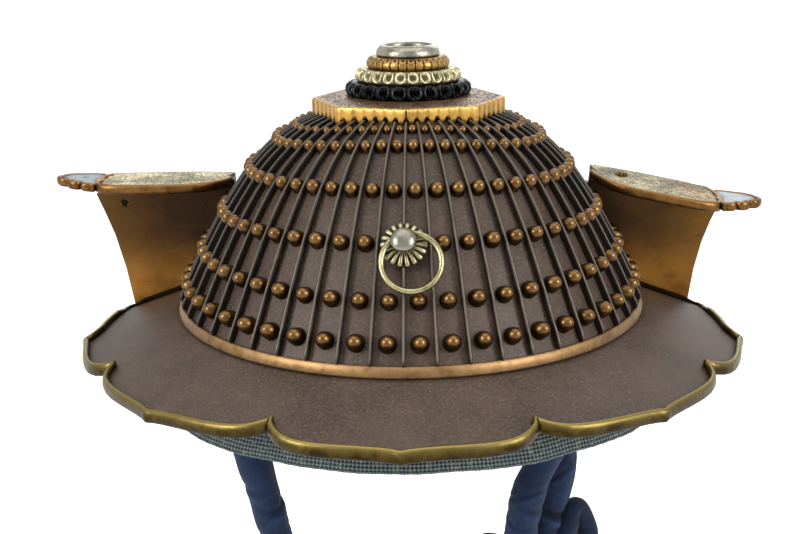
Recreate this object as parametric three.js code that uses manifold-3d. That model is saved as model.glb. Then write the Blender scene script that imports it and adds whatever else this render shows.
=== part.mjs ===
// Ribbed and riveted helmet with a scalloped neck guard, turned back ear flaps and a chin cord.
// Millimetres, +Z up, +Y the way the wearer faces, +X the wearer's right.
// The origin is the middle of the bowl's mouth, at the height of the waist band.
import * as THREE from 'three';
import { mergeVertices } from 'three/addons/utils/BufferGeometryUtils.js';
import Module from 'manifold-3d';

const wasm = await Module();
wasm.setup();

// Driving dimensions
const STRETCH = 1.08; // the bowl is this much longer than it is wide
const PLATES = 50; // plates of the bowl, with a standing rib at each joint
const BOWL_WALL = 2.2;
const RIB_WIDTH = 1.8;
const RIB_HEIGHT = 3.3;
const CROWN_HOLE = 10.6;
const GAP = 0.35; // clearance between neighbouring pieces

// Bowl profile: height and half width of the plates' outer face
const BOWL_PROFILE = [
  { z: -2.5, half: 110.4 },
  { z: 1.0, half: 109.6 },
  { z: 4.5, half: 107.8 },
  { z: 20.0, half: 100.2 },
  { z: 42.0, half: 88.4 },
  { z: 62.0, half: 75.0 },
  { z: 76.0, half: 61.0 },
  { z: 84.2, half: 48.6 },
  { z: 85.6, half: 45.6 },
  { z: 89.6, half: 33.0 },
  { z: 92.4, half: CROWN_HOLE },
];
const RIB_FOOT = 2; // index of the lowest row with full ribs
const RIB_HEAD = 7; // index of the highest row with full ribs
const INNER_ROWS = [8, 6, 5, 4, 3]; // rows that the inner face follows, from the crown down

// Rivet rows: height at the back, how much lower the row lies at the sides, base radius
// and how far the point stands out
const RIVET_ROWS = [
  { z: 9.3, drop: -0.5, radius: 3.3, proud: 5.8 },
  { z: 25.0, drop: -1.0, radius: 3.3, proud: 5.8 },
  { z: 46.3, drop: 2.5, radius: 3.1, proud: 5.4 },
  { z: 65.6, drop: 3.0, radius: 2.9, proud: 5.0 },
];
const RIVET_SIDES = 4;
const RIVET_SINK = 0.9; // how far a rivet's base lies inside the plate
const BARE_ROW = 2; // this row leaves room for the rear washer

// Waist band
const BAND = { low: -2.9, high: 0.6, halfLow: 112.4, halfHigh: 111.2, wall: 1.0 };

// Neck guard: a one piece sloping plate with a lobed edge
const GUARD_TOP = -3.4;
const GUARD_SLOPE = 0.4;
const GUARD_INNER = 111.6;
const GUARD_WALL = 1.8;
const GUARD_END = 104.5; // degrees from the back at which the plate stops
const GUARD_RIM = { width: 3.2, height: 5.0, sides: 6 };
// Lobes: angle of each outward point, its reach, and the angle of the notch after it
const LOBES = [
  { point: 0.0, reach: 162.6, notch: 20.2 },
  { point: 42.4, reach: 159.0, notch: 64.2 },
  { point: 85.2, reach: 160.2, notch: 106.5 },
];
// Edge of half a lobe: share of the way from point to notch, and how far it falls in
const LOBE_EDGE = [
  { share: 0.0, fall: 0.0 },
  { share: 0.14, fall: 1.7 },
  { share: 0.4, fall: 2.3 },
  { share: 0.68, fall: 2.9 },
  { share: 0.84, fall: 5.0 },
  { share: 0.95, fall: 8.0 },
  { share: 1.0, fall: 11.0 },
];
const LAST_FALL = 5.6; // fall along the front edge, where the third lobe has no notch

// Cloth collar under the neck guard: it swells between its upper and lower edge
const COLLAR = {
  top: -8.2, low: -38.6, halfTop: 112.6, halfLow: 129.6, longLow: 135.2, swell: 1, wall: 2.5, end: 99, steps: 24,
};

// Peak over the brow
const PEAK = { half: 58, side: 7, reach: 34, bow: 0.8, foot: 1.4, slope: 0.46, wall: 1.8, steps: 16 };
const PEAK_RIM = { width: 2.6, height: 3.6, sides: 6 };

// Crown fittings, from the bottom up: radius, height, petals and depth of the flutes
// The plate's corners every 45 degrees from the back: the one at the back is drawn in
const CROWN_PLATE = { corners: [42.5, 45.4, 46.3, 45.4], low: 88.6, high: 95.4, inner: 30, rise: 97.2, wall: 1.8 };
const CROWN_BEVEL = { drop: 1.2, lean: 0.3, inset: 1.6 };
const ROUND_SIDES = 20; // sides of the round hole through the crown fittings
const BROW_SHARE = 0.4; // height of a flower's widest line, as a share of the flower
const FLOWERS = [
  { name: 'crown_flower_black', low: 97.6, high: 104.4, foot: 28.2, brow: 29.6, top: 26.6, petals: 24, flute: 1.1 },
  { name: 'crown_flower_silver', low: 104.7, high: 109.6, foot: 23.9, brow: 24.7, top: 22.2, petals: 24, flute: 0.9 },
  { name: 'crown_flower_gold', low: 109.9, high: 115.0, foot: 18.9, brow: 19.7, top: 17.2, petals: 20, flute: 0.8 },
];
const CROWN_RING = {
  low: 115.3, waist: 116.7, shoulder: 118.5, high: 119.8, foot: 14.9, brow: 15.0, neck: 13.8, lip: 11.6,
};

// Rear fitting: washer, boss on a neck, and the hanging ring
const REAR_HEIGHT = 44.9;
const WASHER = { radius: 9.8, inner: 2.6, back: 3.7, edge: 5.1, front: 5.7, bevel: 1.4, flute: 0.9, petals: 16 };
const BOSS = { neck: 1.6, foot: 6.0, shoulder: 9.2, brim: 9.4, radius: 5.4, proud: 3.9, sides: 14 };
const RING = { radius: 12.5, wire: 1.2, stand: 7.6, lean: 30, aside: 20, hang: 3.15, steps: 18, sides: 6 };

// Ear flaps: a sheet that stands on the front end of the neck guard and turns back at the top
const FLAP_Y = 39.5;
const FLAP_WALL = 1.8;
const FACING_WALL = 1.2;
const FLAP_BEND = 9;
const FLAP_FOOT = 1.2; // height of the standing part's foot over the neck guard
// Rows of the bend: how far it has turned, its outer corner's share of the way in, and its inner edge's step
const BEND_ROWS = [
  { turn: 30, share: 0.3, step: 1.2 },
  { turn: 62, share: 0.75, step: 0 },
  { turn: 90, share: 1.0, step: 0 },
];
const LIP_FAR = 31;
const LIP_OUT = 151.5;
const BOWL_CLEAR = 6.4;
const FLAP_RIM = { width: 2.6, height: 4.2, sides: 6 };
const LIP_DEPTH = 1.7; // from the rim's middle down to the lip's underside
const LIP_INNER = 100; // distance from the middle at which the flap's height is taken
const RIM_END = { across: 149.9, y: 4.2 }; // outer end of the lip's rim
// Side of the flap: height over the neck guard's foot and reach of the outer edge, left and right
const FLAP_SIDE = [
  { up: 0.0, left: 146.5, right: 143.0 },
  { up: 0.35, left: 150.0, right: 145.5 },
  { up: 0.65, left: 154.5, right: 149.0 },
  { up: 0.85, left: 159.0, right: 152.5 },
  { up: 1.0, left: 163.0, right: 156.0 },
];
// Near edge of the turned back lip: distance from the middle and place of the edge
const LIP_EDGE = [
  { across: 90.4, y: 27 },
  { across: 91.8, y: 19 },
  { across: 94.6, y: 11.5 },
  { across: 99.5, y: 5.5 },
  { across: 107.0, y: 1.6 },
  { across: 118.0, y: 0.0 },
  { across: 140.0, y: 0.0 },
  { across: 147.5, y: 1.6 },
  { across: LIP_OUT, y: 6.5 },
];
// The two flaps are not alike: the right one has sagged outwards and towards the back
const FLAPS = [
  { name: 'left', side: -1, lip: 52.0, fall: 0.0, lean: 0.0, inset: 0.0, earLip: 52.6, earRise: 0.1, foot: -15.5 },
  { name: 'right', side: 1, lip: 52.4, fall: 0.2, lean: 0.07, inset: 3.0, earLip: 41.4, earRise: -0.02, foot: -14.5 },
];
// Lobed ear beside the lip: outline from the lip's corner round the three lobes and back
const EAR = [
  { across: 153.6, y: 3.6 },
  { across: 155.4, y: 1.8 },
  { across: 158.4, y: 2.0 },
  { across: 160.2, y: 4.6 },
  { across: 162.6, y: 3.4 },
  { across: 165.6, y: 4.6 },
  { across: 167.4, y: 7.6 },
  { across: 170.4, y: 8.0 },
  { across: 173.0, y: 11.6 },
  { across: 173.6, y: 17.0 },
  { across: 171.0, y: 23.0 },
  { across: 165.0, y: 27.4 },
  { across: 153.6, y: 29.4 },
];
const EAR_MIDDLE = { across: 161, y: 18 };
const EAR_SHIFT = 0.7; // room between the ear and the flap's lip
const EAR_DROP = 0.3; // the rim's middle lies this far under the ear's upper face
const EAR_WALL = 1.4;
const EAR_RIM = { width: 2.0, height: 3.6, sides: 6 };

// Small flower headed stud on the right flap's facing
const STUD = { across: 104, y: 20, lift: 0.4, sides: 12 };
const STUD_PROFILE = [[0, 0], [3.6, 0], [3.2, 0.9], [1.4, 1.6], [0, 2.0]]; // radius and height

// Chin cord of padded cloth, a loop from side to side
const CORD = { radius: 8.5, sides: 8, pitch: 27 };
const ANCHOR = { across: 97.6, yLeft: -14.0, yRight: -4.7, z: 0.5, wire: 1.7, radius: 6.0 };
// Routes, as points of their middle lines
const CORD_LEFT = [
  [-97.5, -14.0, -4.5], [-93.5, -14.0, -30.0], [-89.5, -14.0, -48.0], [-84.5, -14.0, -66.0],
  [-79.2, -14.0, -84.2], [-74.2, -14.0, -104.0], [-69.2, -14.0, -124.5], [-62.5, -13.0, -145.0],
  [-52.0, -11.0, -164.0], [-37.0, -8.0, -181.0], [-18.0, -4.0, -192.0], [3.0, 0.0, -196.5],
  [24.0, 3.5, -194.5], [42.0, 6.0, -187.0], [54.0, 6.5, -176.5],
];
const CORD_FRONT = [
  [96.5, -14.0, -4.5], [89.4, -14.2, -26.0], [81.4, -14.6, -46.0], [73.6, -15.0, -64.0],
  [66.2, -15.4, -81.0], [59.2, -15.6, -97.0], [55.8, -15.2, -113.0], [54.4, -13.6, -128.0],
];
const CORD_BACK = [
  [97.0, 4.6, -4.5], [90.5, 4.8, -30.0], [83.5, 5.0, -52.0], [78.4, 5.2, -72.0],
  [75.6, 5.4, -90.0], [74.4, 5.8, -103.0],
];
const KNOT = { x: 62.0, y: 6.0, z: -152.0, core: 15.0, squash: [0.85, 0.75, 0.7] };
const BOW_SQUASH = 0.62;
// Loops of the bow: place of the middle from the knot's own, size and turn
const BOW = [
  { dx: 17.5, dy: 2.0, dz: 18.0, radius: 13.5, tube: 7.6, turn: -1.15 },
  { dx: -15.5, dy: 2.0, dz: 3.0, radius: 12.5, tube: 7.2, turn: 0.7 },
];

const finishes = {
  russet: [0x6b5a54, 0.6, 0.75],
  brass: [0xb08b50, 0.38, 0.95],
  dullBrass: [0x7a6024, 0.45, 0.9],
  gilt: [0xb8873c, 0.35, 1.0],
  silver: [0xb9b59c, 0.32, 1.0],
  blackCopper: [0x1c1c22, 0.4, 0.8],
  lacquer: [0x7a5228, 0.45, 0.3],
  hide: [0xa8a286, 0.9, 0.0],
  indigo: [0x2a3c5e, 0.95, 0.0],
  weave: [0x4f646c, 0.95, 0.0],
  iron: [0x3a332e, 0.55, 0.85],
};

const group = new THREE.Group();

function addPiece(name, geometry, finish) {
  const [color, roughness, metalness] = finishes[finish];
  const mesh = new THREE.Mesh(geometry, new THREE.MeshStandardMaterial({ color, roughness, metalness }));
  mesh.name = name;
  group.add(mesh);
  return mesh;
}

// A closed body from triangles, turned so that its faces point out
function bodyFrom(points, triangles) {
  let volume = 0;
  for (const [a, b, c] of triangles) {
    volume += points[a].dot(new THREE.Vector3().crossVectors(points[b], points[c]));
  }
  const index = triangles.flatMap(([a, b, c]) => (volume < 0 ? [a, c, b] : [a, b, c]));
  const geometry = new THREE.BufferGeometry().setFromPoints(points);
  geometry.setIndex(index);
  return geometry;
}

// Triangles between two loops that may have different numbers of points
function zip(first, firstCount, second, secondCount, triangles) {
  let i = 0;
  let j = 0;
  while (i < firstCount || j < secondCount) {
    const stepFirst = j >= secondCount || (i < firstCount && (i + 1) / firstCount <= (j + 1) / secondCount);
    const a = first + (i % firstCount);
    const b = second + (j % secondCount);
    if (stepFirst) {
      triangles.push([a, first + ((i + 1) % firstCount), b]);
      i += 1;
    } else {
      triangles.push([a, second + ((j + 1) % secondCount), b]);
      j += 1;
    }
  }
}

// A body through closed loops of points: a ring of loops, or a run of loops with two capped ends
function loft(loops, ring) {
  const points = loops.flat();
  const starts = [];
  let count = 0;
  for (const loop of loops) {
    starts.push(count);
    count += loop.length;
  }
  const triangles = [];
  const last = ring ? loops.length : loops.length - 1;
  for (let k = 0; k < last; k += 1) {
    const next = (k + 1) % loops.length;
    zip(starts[k], loops[k].length, starts[next], loops[next].length, triangles);
  }
  if (!ring) {
    for (const k of [0, loops.length - 1]) {
      const middle = new THREE.Vector3();
      loops[k].forEach((point) => middle.add(point));
      points.push(middle.divideScalar(loops[k].length));
      for (let i = 0; i < loops[k].length; i += 1) {
        const edge = [starts[k] + i, starts[k] + ((i + 1) % loops[k].length)];
        triangles.push(k === 0 ? [edge[1], edge[0], points.length - 1] : [edge[0], edge[1], points.length - 1]);
      }
    }
  }
  return bodyFrom(points, triangles);
}

// A bead of oval section along a path; outward gives the section's sideways direction at each point
function bead(path, outward, size) {
  const loops = path.map((point, i) => {
    const loop = [];
    for (let s = 0; s < size.sides; s += 1) {
      const turn = (2 * Math.PI * (s + 0.5)) / size.sides;
      const side = outward[i].clone().multiplyScalar((Math.cos(turn) * size.width) / 2);
      loop.push(point.clone().add(side).add(new THREE.Vector3(0, 0, (Math.sin(turn) * size.height) / 2)));
    }
    return loop;
  });
  return loft(loops, false);
}

// Sideways directions along a path seen from above
function sideways(path) {
  return path.map((point, i) => {
    const before = path[Math.max(i - 1, 0)];
    const after = path[Math.min(i + 1, path.length - 1)];
    return new THREE.Vector3(after.y - before.y, before.x - after.x, 0).normalize();
  });
}

// A thin sheet between two grids of points, closed round its edge
function sheet(front, back) {
  const rows = front.length;
  const cols = front[0].length;
  const points = [...front.flat(), ...back.flat()];
  const at = (face, r, c) => face * rows * cols + r * cols + c;
  const triangles = [];
  const quad = (a, b, c, d) => triangles.push([a, b, c], [a, c, d]);
  for (let r = 0; r < rows - 1; r += 1) {
    for (let c = 0; c < cols - 1; c += 1) {
      quad(at(0, r, c), at(0, r, c + 1), at(0, r + 1, c + 1), at(0, r + 1, c));
      quad(at(1, r, c), at(1, r + 1, c), at(1, r + 1, c + 1), at(1, r, c + 1));
    }
  }
  for (let c = 0; c < cols - 1; c += 1) {
    quad(at(0, 0, c), at(1, 0, c), at(1, 0, c + 1), at(0, 0, c + 1));
    quad(at(0, rows - 1, c), at(0, rows - 1, c + 1), at(1, rows - 1, c + 1), at(1, rows - 1, c));
  }
  for (let r = 0; r < rows - 1; r += 1) {
    quad(at(0, r, 0), at(0, r + 1, 0), at(1, r + 1, 0), at(1, r, 0));
    quad(at(0, r, cols - 1), at(1, r, cols - 1), at(1, r + 1, cols - 1), at(0, r + 1, cols - 1));
  }
  return bodyFrom(points, triangles);
}

function solidOf(geometry) {
  const bare = geometry.clone();
  bare.deleteAttribute('normal');
  bare.deleteAttribute('uv');
  const merged = mergeVertices(bare, 1e-4);
  const vertProperties = new Float32Array(merged.attributes.position.array);
  const triVerts = new Uint32Array(merged.index.array);
  return new wasm.Manifold(new wasm.Mesh({ numProp: 3, vertProperties, triVerts }));
}

function geometryOf(solid) {
  const mesh = solid.getMesh();
  const geometry = new THREE.BufferGeometry();
  geometry.setAttribute('position', new THREE.BufferAttribute(new Float32Array(mesh.vertProperties), 3));
  geometry.setIndex(new THREE.BufferAttribute(new Uint32Array(mesh.triVerts), 1));
  return geometry;
}

function mix(rows, key, value, want) {
  let k = 0;
  while (k < rows.length - 2 && rows[k + 1][key] < value) k += 1;
  const share = (value - rows[k][key]) / (rows[k + 1][key] - rows[k][key]);
  return rows[k][want] + (rows[k + 1][want] - rows[k][want]) * share;
}

// A point of an oval round the bowl's axis; the angle is counted from the back
function oval(angle, half, z, long = half * STRETCH) {
  return new THREE.Vector3(half * Math.sin(angle), -long * Math.cos(angle), z);
}

function ovalLoop(count, half, z, long = half * STRETCH) {
  return Array.from({ length: count }, (_, i) => oval((2 * Math.PI * i) / count, half, z, long));
}

// One row of the bowl with its ribs standing out, four points to a plate
function ribbedLoop(half, z) {
  const loop = [];
  const ribAngle = RIB_WIDTH / half / 2;
  for (let k = 0; k < PLATES; k += 1) {
    const angle = (2 * Math.PI * k) / PLATES;
    loop.push(oval(angle - ribAngle, half, z));
    loop.push(oval(angle - ribAngle, half + RIB_HEIGHT, z));
    loop.push(oval(angle + ribAngle, half + RIB_HEIGHT, z));
    loop.push(oval(angle + ribAngle, half, z));
  }
  return loop;
}

function bowlShell() {
  const outer = BOWL_PROFILE.map(({ z, half }, i) => (
    i >= RIB_FOOT && i <= RIB_HEAD ? ribbedLoop(half, z) : ovalLoop(PLATES, half, z)
  ));
  const inner = [
    ovalLoop(PLATES, CROWN_HOLE, BOWL_PROFILE.at(-1).z - BOWL_WALL),
    ...INNER_ROWS.map((i) => (
      ovalLoop(PLATES, BOWL_PROFILE[i].half - BOWL_WALL, BOWL_PROFILE[i].z - BOWL_WALL / 2)
    )),
    ovalLoop(PLATES, BOWL_PROFILE[0].half - BOWL_WALL, BOWL_PROFILE[0].z),
  ];
  return loft([...outer, ...inner], true);
}

// Direction that points straight out of the bowl at an angle and a height
function bowlNormal(angle, z) {
  const step = 1.5;
  const half = mix(BOWL_PROFILE, 'z', z, 'half');
  const up = oval(angle, mix(BOWL_PROFILE, 'z', z + step, 'half'), z + step)
    .sub(oval(angle, mix(BOWL_PROFILE, 'z', z - step, 'half'), z - step));
  const along = oval(angle + 0.01, half, z).sub(oval(angle - 0.01, half, z));
  return new THREE.Vector3().crossVectors(along, up).normalize();
}

// Pointed rivets in rows, as one set of separate cones
function rivets() {
  const points = [];
  const triangles = [];
  RIVET_ROWS.forEach((row, rowIndex) => {
    for (let k = 0; k < PLATES; k += 1) {
      const byWasher = rowIndex === BARE_ROW && (k === 0 || k === PLATES - 1);
      if (byWasher) continue;
      const angle = (2 * Math.PI * (k + 0.5)) / PLATES;
      const height = row.z - row.drop * Math.sin(angle) ** 2;
      const half = mix(BOWL_PROFILE, 'z', height, 'half') * Math.cos(Math.PI / PLATES);
      const normal = bowlNormal(angle, height);
      const side = new THREE.Vector3(normal.y, -normal.x, 0).normalize();
      const up = new THREE.Vector3().crossVectors(normal, side);
      const seat = oval(angle, half, height).addScaledVector(normal, -RIVET_SINK);
      const first = points.length;
      for (let s = 0; s < RIVET_SIDES; s += 1) {
        const turn = (2 * Math.PI * s) / RIVET_SIDES;
        points.push(seat.clone()
          .addScaledVector(side, row.radius * Math.cos(turn))
          .addScaledVector(up, row.radius * Math.sin(turn)));
      }
      points.push(seat.clone().addScaledVector(normal, row.proud + RIVET_SINK));
      const tip = points.length - 1;
      for (let s = 0; s < RIVET_SIDES; s += 1) triangles.push([first + s, first + ((s + 1) % RIVET_SIDES), tip]);
      for (let s = 1; s < RIVET_SIDES - 1; s += 1) triangles.push([first, first + s + 1, first + s]);
    }
  });
  return bodyFrom(points, triangles);
}

addPiece('bowl', geometryOf(solidOf(bowlShell()).add(solidOf(rivets()))), 'russet');

addPiece('waist_band', loft([
  ovalLoop(PLATES, BAND.halfLow, BAND.low),
  ovalLoop(PLATES, BAND.halfHigh, BAND.high),
  ovalLoop(PLATES, BAND.halfHigh - BAND.wall, BAND.high),
  ovalLoop(PLATES, BAND.halfLow - BAND.wall, BAND.low),
], true), 'brass');

// Radius of the bowl's foot seen from above at an angle
function footRadius(angle, half) {
  return half / Math.hypot(Math.sin(angle), Math.cos(angle) / STRETCH);
}

function guardHeight(angle, radius) {
  return GUARD_TOP - GUARD_SLOPE * (radius - footRadius(angle, GUARD_INNER));
}

// Angles and reach of the neck guard's edge, from the back round to one end
function halfEdge() {
  const edge = [];
  LOBES.forEach((lobe, i) => {
    const before = i === 0 ? null : LOBES[i - 1].notch;
    if (before !== null) {
      [...LOBE_EDGE].reverse().slice(1).forEach(({ share, fall }) => {
        edge.push({ angle: lobe.point - (lobe.point - before) * share, reach: lobe.reach - fall });
      });
    } else {
      edge.push({ angle: lobe.point, reach: lobe.reach });
    }
    LOBE_EDGE.slice(1).forEach(({ share, fall }) => {
      const angle = lobe.point + (lobe.notch - lobe.point) * share;
      const front = i === LOBES.length - 1;
      if (front && angle > GUARD_END) return;
      edge.push({ angle, reach: lobe.reach - (front ? Math.min(fall * 3, LAST_FALL) : fall) });
    });
  });
  edge.push({ angle: GUARD_END, reach: LOBES.at(-1).reach - LAST_FALL });
  return edge;
}

const edgeHalf = halfEdge();
const guardEdge = [
  ...edgeHalf.slice(1).reverse().map(({ angle, reach }) => ({ angle: -angle, reach })),
  ...edgeHalf,
].map(({ angle, reach }) => ({ angle: THREE.MathUtils.degToRad(angle), reach }));

function polar(angle, radius, z) {
  return new THREE.Vector3(radius * Math.sin(angle), -radius * Math.cos(angle), z);
}

function guardPlate() {
  const inset = GUARD_RIM.width / 2 + GAP;
  const rows = [0, 1].map((share) => guardEdge.map(({ angle, reach }) => {
    const foot = footRadius(angle, GUARD_INNER);
    const radius = foot + (reach - inset - foot) * share;
    return polar(angle, radius, guardHeight(angle, radius));
  }));
  const under = rows.map((row) => row.map((point) => point.clone().add(new THREE.Vector3(0, 0, -GUARD_WALL))));
  return sheet(rows, under);
}
addPiece('neck_guard', guardPlate(), 'russet');

// The rim bead follows the lobed edge from one front end to the other
function guardRim() {
  const path = guardEdge.map(({ angle, reach }) => polar(angle, reach, guardHeight(angle, reach) + 0.2));
  return bead(path, path.map((point) => new THREE.Vector3(point.x, point.y, 0).normalize()), GUARD_RIM);
}
addPiece('neck_guard_rim', guardRim(), 'dullBrass');

function collar() {
  const { top, low, halfTop, halfLow, longLow, swell, wall, steps } = COLLAR;
  const end = THREE.MathUtils.degToRad(COLLAR.end);
  const between = (a, b, share) => a + (b - a) * share;
  const outer = [0, 0.5, 1].map((share) => {
    const out = swell * Math.sin(Math.PI * share);
    const half = between(halfTop, halfLow, share) + out;
    const long = between(halfTop * STRETCH, longLow, share) + out;
    return Array.from({ length: steps + 1 }, (_, i) => (
      oval(-end + (2 * end * i) / steps, half, between(top, low, share), long)
    ));
  });
  const inner = outer.map((line) => line.map((point) => {
    const flat = new THREE.Vector3(point.x, point.y, 0).normalize();
    return point.clone().addScaledVector(flat, -wall);
  }));
  return sheet(outer, inner);
}
addPiece('collar', collar(), 'weave');

// Peak: its reach is greatest over the brow and it fades out at its two ends
function peakRows(shares) {
  return shares.map((share) => Array.from({ length: PEAK.steps + 1 }, (_, i) => {
    const turn = -1 + (2 * i) / PEAK.steps;
    const angle = Math.PI + THREE.MathUtils.degToRad(PEAK.half * turn);
    const foot = footRadius(angle, GUARD_INNER + PEAK.foot);
    const reach = PEAK.side + PEAK.reach * Math.cos((turn * Math.PI) / 2) ** PEAK.bow;
    return polar(angle, foot + reach * share, -PEAK.foot - PEAK.slope * reach * share);
  }));
}
const peakTop = peakRows([0, 1]);
addPiece('peak', sheet(peakTop, peakTop.map((row) => row.map((point) => (
  point.clone().add(new THREE.Vector3(0, 0, -PEAK.wall))
)))), 'russet');
const peakEdge = peakTop[1].map((point) => {
  const out = new THREE.Vector3(point.x, point.y, 0).normalize();
  return point.clone().addScaledVector(out, PEAK_RIM.width / 2 + GAP);
});
addPiece('peak_rim', bead(peakEdge, peakEdge.map((point) => (
  new THREE.Vector3(point.x, point.y, 0).normalize()
)), PEAK_RIM), 'dullBrass');

function roundLoop(count, radius, z) {
  return Array.from({ length: count }, (_, i) => polar((2 * Math.PI * i) / count, radius, z));
}

const LINED_HOLE = CROWN_HOLE + 0.6; // hole in every fitting under the top ring

// Crown plate: eight sided, with a corner at the back
function crownPlate() {
  const { corners, low, high, rise, inner, wall } = CROWN_PLATE;
  const { drop, lean, inset } = CROWN_BEVEL;
  const sides = 2 * corners.length;
  const loop = (step, z) => Array.from({ length: sides }, (_, i) => (
    polar((2 * Math.PI * i) / sides, corners[i % corners.length] - step, z)
  ));
  return loft([
    loop(0, low), loop(lean, high - drop), loop(inset, high), roundLoop(ROUND_SIDES, inner, rise),
    roundLoop(ROUND_SIDES, LINED_HOLE, rise), roundLoop(ROUND_SIDES, LINED_HOLE, rise - wall),
    loop(wall + inset, high - wall), loop(wall, low),
  ], true);
}
addPiece('crown_plate', crownPlate(), 'gilt');

// Flower rings: two points to a petal, proud at its middle and sunk between petals
function flower({ low, high, foot, brow, top, petals, flute }) {
  const wave = (radius, z, depth) => Array.from({ length: 2 * petals }, (_, i) => (
    polar((Math.PI * (i + 0.5)) / petals, radius - (i % 2 ? depth : 0), z)
  ));
  return loft([
    wave(foot, low, flute), wave(brow, low + (high - low) * BROW_SHARE, flute), wave(top, high, flute),
    roundLoop(ROUND_SIDES, LINED_HOLE, high), roundLoop(ROUND_SIDES, LINED_HOLE, low),
  ], true);
}
FLOWERS.forEach((ring, i) => addPiece(ring.name, flower(ring), ['blackCopper', 'silver', 'gilt'][i]));

function crownRing() {
  const { low, waist, shoulder, high, foot, brow, neck, lip } = CROWN_RING;
  const profile = [
    [CROWN_HOLE, low], [foot, low], [brow, waist], [neck, shoulder], [lip, high], [CROWN_HOLE, shoulder],
    [CROWN_HOLE, low],
  ].map(([radius, z]) => new THREE.Vector2(radius, z));
  const geometry = new THREE.LatheGeometry(profile, ROUND_SIDES);
  geometry.rotateX(Math.PI / 2);
  return geometry;
}
addPiece('crown_ring', crownRing(), 'silver');

// Rear fitting, built along the bowl's own normal at the centre back
const rearNormal = bowlNormal(0, REAR_HEIGHT);
const rearSeat = oval(0, mix(BOWL_PROFILE, 'z', REAR_HEIGHT, 'half'), REAR_HEIGHT);
const rearTurn = new THREE.Quaternion().setFromUnitVectors(new THREE.Vector3(0, 0, 1), rearNormal);

function placeRear(geometry) {
  geometry.applyQuaternion(rearTurn);
  geometry.translate(rearSeat.x, rearSeat.y, rearSeat.z);
  return geometry;
}

function washer() {
  const { radius, inner, back, edge, front, bevel, flute, petals } = WASHER;
  const wave = (r, z) => Array.from({ length: 2 * petals }, (_, i) => (
    polar((Math.PI * i) / petals, r - (i % 2 ? flute : 0), z)
  ));
  return loft([
    wave(radius, back), wave(radius - bevel, edge), roundLoop(petals, inner, front), roundLoop(petals, inner, back),
  ], true);
}
addPiece('rear_washer', placeRear(washer()), 'brass');

function boss() {
  const { neck, foot, shoulder, brim, radius, proud, sides } = BOSS;
  const profile = [[0, foot], [neck, foot], [neck, shoulder], [radius, brim]];
  for (const turn of [22, 45, 68]) {
    const angle = THREE.MathUtils.degToRad(turn);
    profile.push([radius * Math.cos(angle), brim + proud * Math.sin(angle)]);
  }
  profile.push([0, brim + proud]);
  const geometry = new THREE.LatheGeometry(profile.map(([r, z]) => new THREE.Vector2(r, z)), sides);
  geometry.rotateX(Math.PI / 2);
  return geometry;
}
addPiece('rear_boss', placeRear(boss()), 'silver');

// The ring hangs on the neck behind the boss and lies close along the bowl
function rearRing() {
  const pivot = rearSeat.clone().addScaledVector(rearNormal, RING.stand);
  const lean = THREE.MathUtils.degToRad(RING.lean);
  const aside = THREE.MathUtils.degToRad(RING.aside);
  const upSlope = new THREE.Vector3(0, Math.sin(lean), Math.cos(lean));
  const across = new THREE.Vector3(1, 0, 0);
  const down = upSlope.clone().multiplyScalar(-Math.cos(aside)).addScaledVector(across, Math.sin(aside));
  const centre = pivot.clone().addScaledVector(down, RING.radius - RING.hang);
  const path = Array.from({ length: RING.steps }, (_, i) => {
    const turn = (2 * Math.PI * i) / RING.steps;
    return centre.clone()
      .addScaledVector(across, RING.radius * Math.cos(turn))
      .addScaledVector(upSlope, RING.radius * Math.sin(turn));
  });
  const flat = new THREE.Vector3().crossVectors(across, upSlope);
  const loops = path.map((point) => {
    const out = point.clone().sub(centre).normalize();
    return Array.from({ length: RING.sides }, (_, s) => {
      const turn = (2 * Math.PI * s) / RING.sides;
      return point.clone()
        .addScaledVector(out, RING.wire * Math.cos(turn))
        .addScaledVector(flat, RING.wire * Math.sin(turn));
    });
  });
  return loft(loops, true);
}
addPiece('rear_ring', rearRing(), 'brass');

// Ear flaps
function lipHeight(flap, across, y) {
  return flap.lip - LIP_DEPTH - flap.fall * (across - LIP_EDGE[0].across) + flap.lean * y;
}

function earHeight(flap, across, y) {
  return flap.earLip + flap.earRise * (across - LIP_OUT) + flap.lean * 0.5 * y;
}

// The right flap's lip is shorter than the left one's
function lipAcross(flap, across) {
  const first = LIP_EDGE[0].across;
  return first + ((across - first) * (LIP_OUT - flap.inset - first)) / (LIP_OUT - first);
}

function bowlSide(z) {
  const half = mix(BOWL_PROFILE, 'z', Math.max(z, BOWL_PROFILE[0].z), 'half');
  return half * Math.sqrt(1 - (FLAP_Y / (half * STRETCH)) ** 2) + BOWL_CLEAR;
}

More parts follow.
